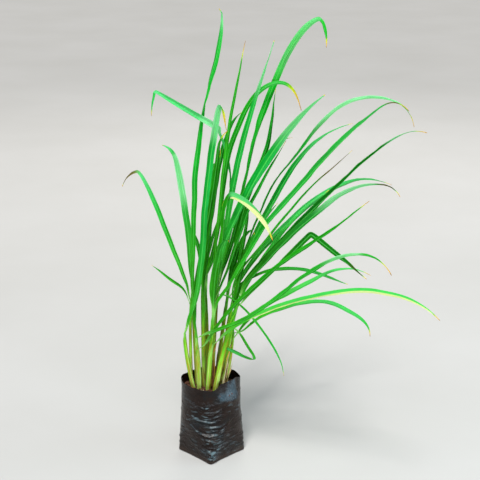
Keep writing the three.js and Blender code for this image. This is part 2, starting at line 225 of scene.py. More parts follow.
def addMesh(name, points, faces, material):
    mesh = bpy.data.meshes.new(name)
    mesh.from_pydata(points, [], faces)
    mesh.materials.append(material)
    piece = bpy.data.objects.new(name, mesh)
    bpy.context.scene.collection.objects.link(piece)
    return piece


def makePiece(name, points, faces, material, replaced=(), readings=None):
    piece = addMesh(name, points.tolist(), faces, material)
    mesh = piece.data
    for key, values in (readings or {}).items():
        mesh.attributes.new(key, "FLOAT", "POINT").data.foreach_set("value", values.astype(np.float32))
    mesh.polygons.foreach_set("use_smooth", [True] * len(mesh.polygons))
    mesh.update()
    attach(piece, "root")
    if replaced:
        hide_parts(*replaced)
    return piece


def bearings(count):
    return np.linspace(0, fullTurn, count, endpoint=False)


def ringPoints(radius, angle, height):
    x, y = radius * np.cos(angle), radius * np.sin(angle)
    return np.stack([x, y, height + 0 * x], -1)


def ringFaces(rings, count, first=0, capEnd=True):
    # quads between rings of `count` points, and a face over each end
    faces = []
    for r in range(rings - 1):
        a = first + r * count
        for k in range(count):
            n = (k + 1) % count
            faces.append((a + k, a + n, a + count + n, a + count + k))
    faces.append(tuple(first + k for k in reversed(range(count))))
    if capEnd:
        end = first + (rings - 1) * count
        faces.append(tuple(end + k for k in range(count)))
    return faces


def wobble(rng, x, wavelength):
    # a smooth random wave from about -1 to 1 along x
    total = np.zeros_like(x)
    for octave in range(3):
        wave = wavelength / 1.9 ** octave * rng.uniform(0.85, 1.15)
        total += np.sin(x / wave * fullTurn + rng.uniform(0, fullTurn)) / 1.7 ** octave
    return total / 1.8


# the floor

floorLook = {"side": 60, "colour": (0.55, 0.54, 0.52), "mottle": (0.59, 0.58, 0.565), "roughness": 0.85}


def makeFloor():
    startMaterial("studioFloor")
    place = position()
    clouds = speckle(place, 2.2, detail=4)
    colour = colourRamp(clouds, [(0.3, floorLook["colour"]), (0.7, floorLook["mottle"])])
    grain = bumpFrom([(speckle(place, 900, detail=2), 0.15, 0.3 * mm)])
    material = finishMaterial(addSkin(colour, floorLook["roughness"], grain, 0.5))
    half = floorLook["side"] / 2
    corners = [(-half, -half, 0), (half, -half, 0), (half, half, 0), (-half, half, 0)]
    floor = addMesh("floor", corners, [(0, 1, 2, 3)], material)


makeFloor()

# the bag: a gusseted polythene tube, its sections square at the floor and round at the rim

bag = {
    "girth": 254 * mm,  # all round the film
    "height": 109 * mm,
    "bottom": 2.2 * mm,  # the wall starts here, above the turned-under edge
    "film": 0.35 * mm,
    "rimRoundness": 2,  # superellipse exponents: 2 is a circle, a high one is a square
    "baseRoundness": 20,
    "squareFade": 6,
    "spread": 0.03,  # share by which the filled bag is broader along X than Y half way up
    "ear": 1.6 * mm,  # how far the base's corners stand out, and how fast that fades
    "earFade": 14,
    "earSharpness": 12,
    "crease": 0.9 * mm,
    "tucks": ((3, 17, 0.6), (7, -23, 0.4)),  # waves round the bag, millimetres up it, share of the crease
    # the rim rises and falls, ripples and flares above these heights
    "rimWave": (1.3 * mm, 98 * mm),
    "rimRipple": (0.5 * mm, 103 * mm),
    "rimFlare": (0.9 * mm, 96 * mm),
    # over part of the girth the film stands up past the rim and leans in; its painted sheen fades out over
    # these degrees to the right and left, and over these heights, which slant by so much a degree
    "flap": {
        "bearing": -40, "level": 22, "spread": 50, "lift": 6 * mm, "lean": 6 * mm, "reach": 22 * mm,
        "right": (18, 32), "left": (26, 46), "lower": (82 * mm, 91 * mm), "slant": 0.1 * mm,
        "cornerLeft": (2, 16), "cornerUp": (98 * mm, 104 * mm)},
    "slackFrom": (1 * mm, 6 * mm),  # heights where painted highlights on the fine level wrinkles start and stop
    "slackTo": (84 * mm, 94 * mm),
    # the welded seam near the rim, a thin upright ridge: widths in degrees
    "seam": {"bearing": 268.5, "width": 0.8, "ridge": 0.35 * mm, "bottom": 90 * mm, "top": 94 * mm},
    # rings of the turned-under edge and floor: share of the wall's radius, and height in millimetres
    "under": [(0.30, 0.0), (0.70, 0.0), (0.93, 0.0), (0.965, 0.15), (0.985, 0.7), (0.997, 1.4)],
    "around": 340,
    "up": 190,
    "inside": 26 * mm,  # how far down the inner face of the film is modelled
    "folds": 170,  # sagging folds all round
    "foldWidth": (0.9, 0.5, 0.65),  # in millimetres: of its soft side, more by its depth, of its sharp side
    "foldSlope": (0.35, 1.05),  # slopes where a fold starts to get its painted highlight, and gets it fully
    "seed": 11,
}
# folds that the slack film shows at the front: degrees round from +X, height, half-length, sag,
# tilt in degrees, depth, all but the angles in millimetres
frontFolds = [
    (265, 40, 46, 30, 0, 3.0), (260, 61, 28, 5, -3, 2.4), (262, 82, 20, 5, 2, 2.2),
    (255, 89, 14, 2, -3, 1.4), (248, 80, 16, 1.5, 0, 1.3), (266, 72, 14, 2.5, 2, 1.7),
    (287, 68, 14, 2, 6, 1.8), (281, 53, 18, 3.5, 4, 2.0), (286, 46, 13, 2, -6, 1.3),
    (277, 31, 16, 3, -10, 1.9), (262, 27, 14, 2, 8, 1.4), (290, 38, 12, 1.5, 12, 1.3),
    (254, 19, 22, 1.0, -20, 3.2), (282, 17, 22, 1.0, 17, 3.2), (260, 12, 20, 0.6, -14, 3.4),
    (278, 9, 18, 0.5, 12, 3.2), (250, 34, 13, 2.0, -10, 1.1), (296, 24, 13, 1.0, 14, 1.1),
    (270, 66, 9, 1.5, 8, 0.9), (258, 53, 10, 1.5, -12, 0.9), (272, 22, 9, 1.0, 3, 0.9),
    (264, 85, 15, 3, -4, 1.9), (284, 75, 13, 2.5, 8, 1.7), (260, 75, 12, 2, -6, 1.6),
    (292, 88, 10, 2, 14, 1.2), (262, 15, 21, 0.8, -5, 3.2), (274, 12, 20, 0.6, 9, 3.2),
    (265, 7, 18, 0.4, -10, 3.4), (277, 5, 15, 0.3, 10, 3.2),
]
filmLook = {
    "black": [(0.3, (0.0055, 0.0024, 0.0016)), (0.75, (0.0150, 0.0075, 0.0052))],
    "bluish": (0.0062, 0.0095, 0.0110),
    "dust": (0.075, 0.045, 0.030),
    "paintedFoldHighlight": (0.110, 0.160, 0.178),  # painted highlight on the folds' upward-facing sides and on fine wrinkles
    # painted sheen on the flap, and painted glints on it
    "flap": (0.034, 0.068, 0.090),
    "sheenGlint": (0.26, 0.33, 0.38),
    "roughness": (0.15, 0.30),
    "specular": 0.16,
    "wrinkles": (55, 330),  # of the fine level wrinkles: how many to a metre round the bag and up it
    # scales of its noises, to a metre
    "scales": {"crinkle": 260, "pinches": 130, "dust": 38, "black": 90, "bluish": 34, "highlightGrain": 210,
               "paintedFoldHighlight": 55, "slack": 30, "sheen": 62, "sheenGlints": 900},
}


def squircle(angle, p):
    turned = angle - np.pi / 4
    return (np.abs(np.cos(turned)) ** p + np.abs(np.sin(turned)) ** p) ** (-1 / p)


def girthScale(p):
    angle = np.linspace(0, fullTurn, 721)
    points = ringPoints(squircle(angle, p), angle, 0)
    return bag["girth"] / np.hypot(*np.diff(points[:, :2], axis=0).T).sum()


roundnesses = np.linspace(bag["rimRoundness"], bag["baseRoundness"], 60)
girthScales = [girthScale(p) for p in roundnesses]


def fromFlap(angle):
    # degrees from the middle of the flap, from -180 to 180
    return np.mod(np.degrees(angle) - bag["flap"]["bearing"] + 180, 360) - 180


def flapShare(angle):
    return 1 - smoothstep(np.abs(fromFlap(angle)), bag["flap"]["level"], bag["flap"]["spread"])


def bagRadius(angle, height):
    # the film's outer face before its folds; angle and height are arrays of one shape
    up = np.clip(height / bag["height"], 0, 1)
    p = bag["rimRoundness"] + (bag["baseRoundness"] - bag["rimRoundness"]) * (1 - up) ** bag["squareFade"]
    spread = 1 + bag["spread"] * np.cos(2 * angle) * np.sin(up * np.pi)
    smooth = squircle(angle, p) * np.interp(p, roundnesses, girthScales) * spread
    h = height / mm
    tuck = sum(np.sin(waves * angle + h / rise) * share for waves, rise, share in bag["tucks"])
    smile = np.sin(h / 6.5 - 2.2 * np.cos(angle + np.pi / 2))
    creases = bag["crease"] * np.sin(up * np.pi) ** 0.6 * (0.25 * smile + 0.55 * tuck)
    ear = bag["ear"] * np.abs(np.cos(2 * angle)) ** bag["earSharpness"] * (1 - up) ** bag["earFade"]
    flap = bag["flap"]
    lean = flap["lean"] * flapShare(angle) * smoothstep(height, bag["height"] - flap["reach"], bag["height"])
    return smooth + creases + ear - lean


def foldDepth(angle, height, folds):
    # a sagging fold bulges softly above and turns in sharply below
    depth = np.zeros_like(angle)
    warpX = 2.2 * np.sin(height / 0.011 + 5 * angle) + 1.1 * np.sin(height / 0.0047 - 9 * angle)
    warpY = 0.9 * np.sin(6 * angle + height / 0.013) + 0.5 * np.sin(15 * angle - height / 0.009)
    reach = bag["girth"] / fullTurn / mm
    softSide, byDepth, sharpSide = bag["foldWidth"]
    for turn, level, half, sag, tilt, deep in folds:
        x = (np.mod(angle - math.radians(turn) + np.pi, fullTurn) - np.pi) * reach + warpX
        y = height / mm - level + warpY
        c, s = math.cos(math.radians(tilt)), math.sin(math.radians(tilt))
        along, over = x * c + y * s, y * c - x * s
        over = over - sag * (along / half) ** 2
        window = np.clip(1 - (along / half) ** 2, 0, 1) ** 1.5
        width = np.where(over > 0, softSide + byDepth * abs(deep), sharpSide)
        depth += deep * window * np.exp(-(over / width) ** 2)
    return depth * mm


def randomFolds(rng):
    folds = []
    for _ in range(bag["folds"]):
        level = 6 + 94 * rng.random() ** 1.2
        folds.append((
            rng.uniform(0, 360), level, rng.uniform(6, 17), rng.uniform(0.3, 2.6),
            rng.normal(0, 16), rng.uniform(0.25, 1.0) * rng.choice([1, 1, -0.7])))
    return folds


def filmMaterial():
    startMaterial("blackPolythene")
    place, scales = position(), filmLook["scales"]
    apart = addNode("ShaderNodeSeparateXYZ", {0: place}).outputs
    crinkle = speckle(place, scales["crinkle"], detail=4, roughness=0.6, distortion=0.6)
    pinches = addNode("ShaderNodeTexVoronoi", {"Vector": place, "Scale": scales["pinches"]},
                      feature="DISTANCE_TO_EDGE").outputs["Distance"]
    # dust in clouds and low down
    dust = soften(speckle(place, scales["dust"], detail=5, roughness=0.65), 0.52, 0.80, 0.0, 0.30)
    lowDown = soften(apart["Z"], 0.0, 12 * mm, 1.0, 0.0)
    dusty = calc("MINIMUM", plus(dust, times(lowDown, 0.22)), 1.0)
    black = colourRamp(speckle(place, scales["black"]), filmLook["black"])
    bluish = soften(speckle(place, scales["bluish"], detail=5, roughness=0.6), 0.48, 0.68, 0.0, 0.7)
    colour = blendColours(bluish, black, filmLook["bluish"])
    colour = blendColours(dusty, colour, filmLook["dust"])
    # painted bluish highlights, standing in for reflections, on the folds' upward-facing sides and on fine
    # level wrinkles
    onRidge, onFlap, slack = readAttributes("ridge", "flap", "slack")
    highlightGrain = speckle(place, scales["highlightGrain"], detail=4, roughness=0.65)
    patches = soften(speckle(place, scales["paintedFoldHighlight"]), 0.36, 0.60, 0.2, 1.0)
    highlightSpots = times(soften(highlightGrain, 0.36, 0.60, 0.10, 1.0), patches)
    level, upright = filmLook["wrinkles"]
    drawnOut = stretched((apart["X"], level), (apart["Y"], level), (apart["Z"], upright))
    fine = speckle(drawnOut, 1.0, distortion=0.5)
    inPatches = soften(speckle(place, scales["slack"]), 0.47, 0.64)
    paintedWrinkleLines = times(soften(fine, 0.56, 0.66, 0.0, 0.60), inPatches)
    paintedHighlights = calc("MAXIMUM", times(onRidge, highlightSpots), times(paintedWrinkleLines, slack))
    colour = blendColours(times(paintedHighlights, 0.9), colour, filmLook["paintedFoldHighlight"])
    # painted sheen on the flap, standing in for a reflection, with fine painted glints on it
    patch = unsettle(onFlap, speckle(place, scales["sheen"], detail=6, roughness=0.7), 2.8)
    patch = soften(patch, 0.50, 1.25)
    colour = blendColours(times(patch, 0.62), colour, filmLook["flap"])
    sheenGlints = times(patch, soften(speckle(place, scales["sheenGlints"], detail=2), 0.60, 0.68, 0.0, 0.5))
    colour = blendColours(sheenGlints, colour, filmLook["sheenGlint"])
    rough = plus(soften(crinkle, 0.25, 0.8, *filmLook["roughness"]), times(dusty, 0.5))
    wrinkled = bumpFrom([
        (crinkle, 0.42, 1.2 * mm), (soften(pinches, 0.0, 0.12), 0.10, 0.5 * mm),
        (fine, 0.35, 1.6 * mm)])
    return finishMaterial(addSkin(colour, rough, wrinkled, filmLook["specular"], IOR=1.50))


def makeBag():
    rng = np.random.default_rng(bag["seed"])
    rim, bottom, count = bag["height"], bag["bottom"], bag["around"]
    angle = bearings(count)
    heights = bottom + (rim - bottom) * np.linspace(0, 1, bag["up"]) ** 1.15
    turn, height = np.meshgrid(angle, heights)
    slack = np.clip(np.sin(np.clip((height + 4 * mm) / (rim + 6 * mm), 0, 1) * np.pi), 0, 1) ** 0.5
    folds = foldDepth(turn, height, frontFolds + randomFolds(rng))
    radius = bagRadius(turn, height) + (folds - 0.5 * mm) * slack
    wave = np.sin(2 * turn + 0.6) * 0.6 + np.sin(5 * turn - 1.1) * 0.4
    ripple = np.sin(11 * turn + 1) * np.sin(3 * turn)
    flare = np.sin(4 * turn + 2)
    waved, rippled, flared = (size * shape * smoothstep(height, start, rim) for shape, (size, start) in (
        (wave, bag["rimWave"]), (ripple, bag["rimRipple"]), (flare, bag["rimFlare"])))
    flap = bag["flap"]
    lift = waved + rippled + flap["lift"] * flapShare(turn) * smoothstep(height, bag["rimWave"][1], rim)
    seam = bag["seam"]
    ridgeAt = (np.degrees(turn) - seam["bearing"]) / seam["width"]
    radius = radius + flared + seam["ridge"] * np.exp(-ridgeAt ** 2) * smoothstep(
        height, seam["bottom"], seam["top"])
    outer = ringPoints(radius, turn, height + lift)
    # what the material reads for painted highlights and sheen: each fold's upper side, the slack part, the
    # flap's outer face
    slope = -np.gradient(radius, axis=0) / np.gradient(heights)[:, None]
    slackness = smoothstep(height, *bag["slackFrom"]) * (1 - smoothstep(height, *bag["slackTo"]))
    away = fromFlap(turn)
    low, high = (edge - flap["slant"] * away for edge in flap["lower"])
    onFlap = (1 - smoothstep(away, *flap["right"])) * (1 - smoothstep(-away, *flap["left"]))
    onFlap = onFlap * smoothstep(height, low, high) * (
        1 - smoothstep(-away, *flap["cornerLeft"]) * smoothstep(height, *flap["cornerUp"]))
    under = np.array([ringPoints(radius[0] * size, angle, level * mm) for size, level in bag["under"]])
    # the inner face of the film, from the rim down past the soil
    start = int(np.searchsorted(heights, rim - bag["inside"]))
    inner = (outer[start:] - ringPoints(bag["film"], turn[start:], 0))[::-1]
    lip = (outer[-1] + inner[0]) / 2
    lip[:, 2] += bag["film"] * 0.4
    rings = np.concatenate([under, outer, lip[None], inner])

    def overOuter(values):
        # values on the outer face, and none on the rest
        rest = np.zeros((len(rings), count))
        rest[len(under):len(under) + len(outer)] = values
        return rest.ravel()

    return makePiece("bagFilm", rings.reshape(-1, 3), ringFaces(len(rings), count, capEnd=False),
                     filmMaterial(), ["bag"], {
                         "ridge": overOuter(smoothstep(slope, *bag["foldSlope"])), "flap": overOuter(onFlap),
                         "slack": overOuter(slackness)})


bagPiece = makeBag()
print("bag made:", len(bagPiece.data.polygons), "faces")

# the soil, its surface a little below the rim

soil = {
    "level": 98 * mm,
    "edge": 95 * mm,
    "lump": 0.8 * mm,
    "rough": 1.1 * mm,
    "clods": (210, 3.7, 0.8, 2.1, 4),  # their noise: scale to a metre, slice, fall, ratio and octaves
    "gap": 0.85 * mm,  # between the film's inner face and the body of earth, at its edge and lower down
    "lowerGap": 1.65 * mm,
    "wallLevels": (3, 12, 30, 50, 70, 84),  # heights of its rings against the wall, in millimetres
    "around": 200,
    "rings": 46,
    "crumbs": 420,
    "crumbReach": 37.5 * mm,
    "crumbLumps": 0.45,  # share of its radius by which a crumb is lumpy, and least and most stretch
    "crumbStretch": (0.7, 1.15),
    "crumbRise": 0.25,  # how far its middle stands above the soil, in radii
    "crumbSizes": {0.55: 0.34, 0.8: 0.28, 1.1: 0.2, 1.6: 0.12, 2.1: 0.06},  # radius in mm: share of all
    "seed": 5,
    "colours": [
        (0.25, (0.030, 0.012, 0.007)), (0.5, (0.105, 0.042, 0.024)), (0.68, (0.19, 0.085, 0.050)),
        (0.85, (0.32, 0.17, 0.11))],
    "fleck": (0.42, 0.30, 0.21),
    "grains": (320, 1400),  # scales of its coarse and fine noise, to a metre
    "roughness": 0.93,
}


def soilHeight(x, y):
    a, b = x / mm, y / mm
    radius = np.hypot(x, y) / (bag["girth"] / fullTurn)
    lumps = np.sin(a / 3.1 + 1) * np.cos(b / 3.7) + np.sin((a + b) / 5.3)
    return soil["level"] - (soil["level"] - soil["edge"]) * radius ** 4 + soil["lump"] * lumps


def clods(x, y):
    scale, cut, *kind = soil["clods"]
    return soil["rough"] * np.array([
        noise.fractal(Vector((a * scale, b * scale, cut)), *kind) for a, b in zip(x, y)])


def soilMaterial():
    startMaterial("pottingSoil")
    place = position()
    coarseScale, fineScale = soil["grains"]
    coarse = speckle(place, coarseScale, detail=5, roughness=0.65)
    fine = speckle(place, fineScale)
    flecks = times(soften(fine, 0.66, 0.72), 0.5)
    colour = blendColours(flecks, colourRamp(coarse, soil["colours"]), soil["fleck"])
    bumped = bumpFrom([(coarse, 0.7, 1.2 * mm), (fine, 0.5, 0.4 * mm)])
    return finishMaterial(addSkin(colour, soil["roughness"], bumped, 0.25))


earth = soilMaterial()


def makeSoil():
    angle = bearings(soil["around"])
    rings = []
    for level in soil["wallLevels"]:
        radius = bagRadius(angle, level * mm + 0 * angle) - bag["film"] - soil["lowerGap"]
        rings.append(ringPoints(radius, angle, level * mm))
    edge = bagRadius(angle, soil["edge"] + 0 * angle) - bag["film"] - soil["gap"]
    for size in np.linspace(1, 0, soil["rings"], endpoint=False):
        x, y = edge * size * np.cos(angle), edge * size * np.sin(angle)
        rings.append(np.stack([x, y, soilHeight(x, y) + clods(x, y) * smoothstep(1 - size, -0.1, 0.1)], -1))
    rings = np.array(rings)
    makePiece("soilBody", rings.reshape(-1, 3), ringFaces(len(rings), len(angle)), earth, ["soil"])


def makeCrumbs():
    # loose crumbs of earth bedded in the surface, each a lumpy ball pulled out of round
    rng = np.random.default_rng(soil["seed"])
    shape = bmesh.new()
    bmesh.ops.create_icosphere(shape, subdivisions=2, radius=1)
    shape.verts.index_update()
    seed = np.array([v.co for v in shape.verts])
    seedFaces = [tuple(v.index for v in f.verts) for f in shape.faces]
    shape.free()
    sizes, shares = list(soil["crumbSizes"]), list(soil["crumbSizes"].values())
    points, faces = [], []
    for i in range(soil["crumbs"]):
        turn, out = rng.uniform(0, fullTurn), soil["crumbReach"] * math.sqrt(rng.random())
        size = rng.choice(sizes, p=shares) * mm
        x, y = out * math.cos(turn), out * math.sin(turn)
        bumps = np.array([noise.noise(Vector(p) * 1.7 + Vector((i * 3.1, 0, 0))) for p in seed])
        lump = seed * (1 + soil["crumbLumps"] * bumps[:, None]) * rng.uniform(*soil["crumbStretch"], 3)
        spin = rng.uniform(0, fullTurn)
        c, s = math.cos(spin), math.sin(spin)
        lump = lump @ np.array([[c, s, 0], [-s, c, 0], [0, 0, 1]]) * size
        faces += [tuple(i * len(seed) + v for v in f) for f in seedFaces]
        points.append(lump + (x, y, soilHeight(x, y) + size * soil["crumbRise"]))
    makePiece("soilCrumbs", np.concatenate(points), faces, earth)


makeSoil()
makeCrumbs()
print("soil made")

# the tillers: leafy stems, each a roll of leaf sheaths with its blades

stem = {
    "depth": 8 * mm,  # how far the sheaths go down into the soil
    "swelling": 1.02,
    "swellingReach": 25 * mm,
    "top": 0.8,
    # the rolled leaf in the middle: points round it, how far its edge stands out, its fit, its pointed top
    "coreAround": 18,
    "coreSeam": 0.07,
    "coreFit": 0.97,
    "corePoint": 23 * mm,
    "coreTip": 15 * mm,  # rings stand closer together in this last stretch
    "coreRings": 12,
    "spacing": 4 * mm,
}
leaf = {
    "shape": (0.6, 0.8, 0.98, 0.96, 0.67, 0.1),
    "broadest": 0.4,  # share of the length; a blade with a high taper stays broad past it
    "channel": 29,  # degrees that each half rises from the rib
    "channelGrowth": (0.25, 0.8, 1.3),  # how much deeper by chance, near the collar and in a withered tip
    "channelLengths": (110 * mm, (30 * mm, 130 * mm)),  # over what lengths by chance and past the collar
    "ribSoftness": 0.10,  # how rounded the bottom of the channel is
    "foldLength": 5 * mm,
    "edge": 0.14 * mm,  # thickness at the margins, in the lamina and through the midrib
    "lamina": 0.24 * mm,
    "rib": 0.62 * mm,
    "ribWidth": 0.13,  # share of the half-width
    "mouth": 22 * mm,  # the sheath opens over this length below the collar
    "layer": 0.10,  # each sheath inside another is this much narrower
    "wrap": 188,  # degrees that half a closed sheath goes round, and how much less a dead one does
    "deadWrap": 40,
    "overlap": 0.05,  # share of its radius by which one edge of a sheath lies over the other
    "bladeCurl": 0.5,  # radius in metres across an open blade
    # spacing of its rings on a straight blade, in the sheath's mouth and at the collar; in a bend there
    # is one to every so many degrees, but none closer than the second number
    "spacing": 3 * mm,
    "mouthSpacing": 1.5 * mm,
    "collarSpacing": 2.2 * mm,
    "bendSpacing": (5, 0.5 * mm),
    "collarReach": 12 * mm,
    "wander": (1.0 * mm, 150 * mm),  # sideways drift of a blade, and over what length
    "twist": (7, 130 * mm),  # degrees of uneven twist, and over what length
    "wave": 0.055,  # rise and fall of its margins, against its width, and the length of each one's waves
    "waveLengths": (42 * mm, 46 * mm),
    # stretches past the collar over which a blade starts to lean, clears its stem, rolls, opens, strays,
    # gets its midrib, loses its first yellow and its paleness, and may get a painted sheen
    "leans": (-1 * mm, 12 * mm),
    "clears": (0, 30 * mm),
    "rolls": (0, 45 * mm),
    "opens": (-3 * mm, 26 * mm),
    "strays": (10 * mm, 90 * mm),
    "ribbed": (0, 40 * mm),
    "young": (-20 * mm, 190 * mm),
    "paleTo": 70 * mm,
    "waxy": (40 * mm, 140 * mm),
    "lies": (0.50, 1.0),  # sines of the lean over which a blade counts as lying flat
    "foldFlat": 5 * mm,  # the channel is flat this near a fold, and the blade counts as lying this far before
    "foldLies": 30 * mm,
    "narrow": (2.2 * mm, 0.35),  # below this half-width it is thinner, down to this share
    "ribFade": 0.7,  # share of the midrib lost towards the tip
    "creamFrom": 0.2,  # share of the blade where a cream margin starts, unless it starts at a fold
    "seed": 23,
}
across = np.array([0, 0.07, 0.13, 0.25, 0.42, 0.6, 0.78, 0.92, 1.0])
across = np.concatenate([-across[:0:-1], across])


def blade(at, heading, length, width, tone, hue, roll, lean, **more):
    usual = dict(taper=1, folds=(), tip=0.045, collar=9, wax=smoothstep(tone + hue, 0.5, 1.6), cream=0,
                 frost=(2, 3), scorch=(2, 3), dry=0)
    return dict(usual, at=at, heading=heading, length=length, width=width, tone=tone, hue=hue, roll=roll,
                lean=lean, **more)
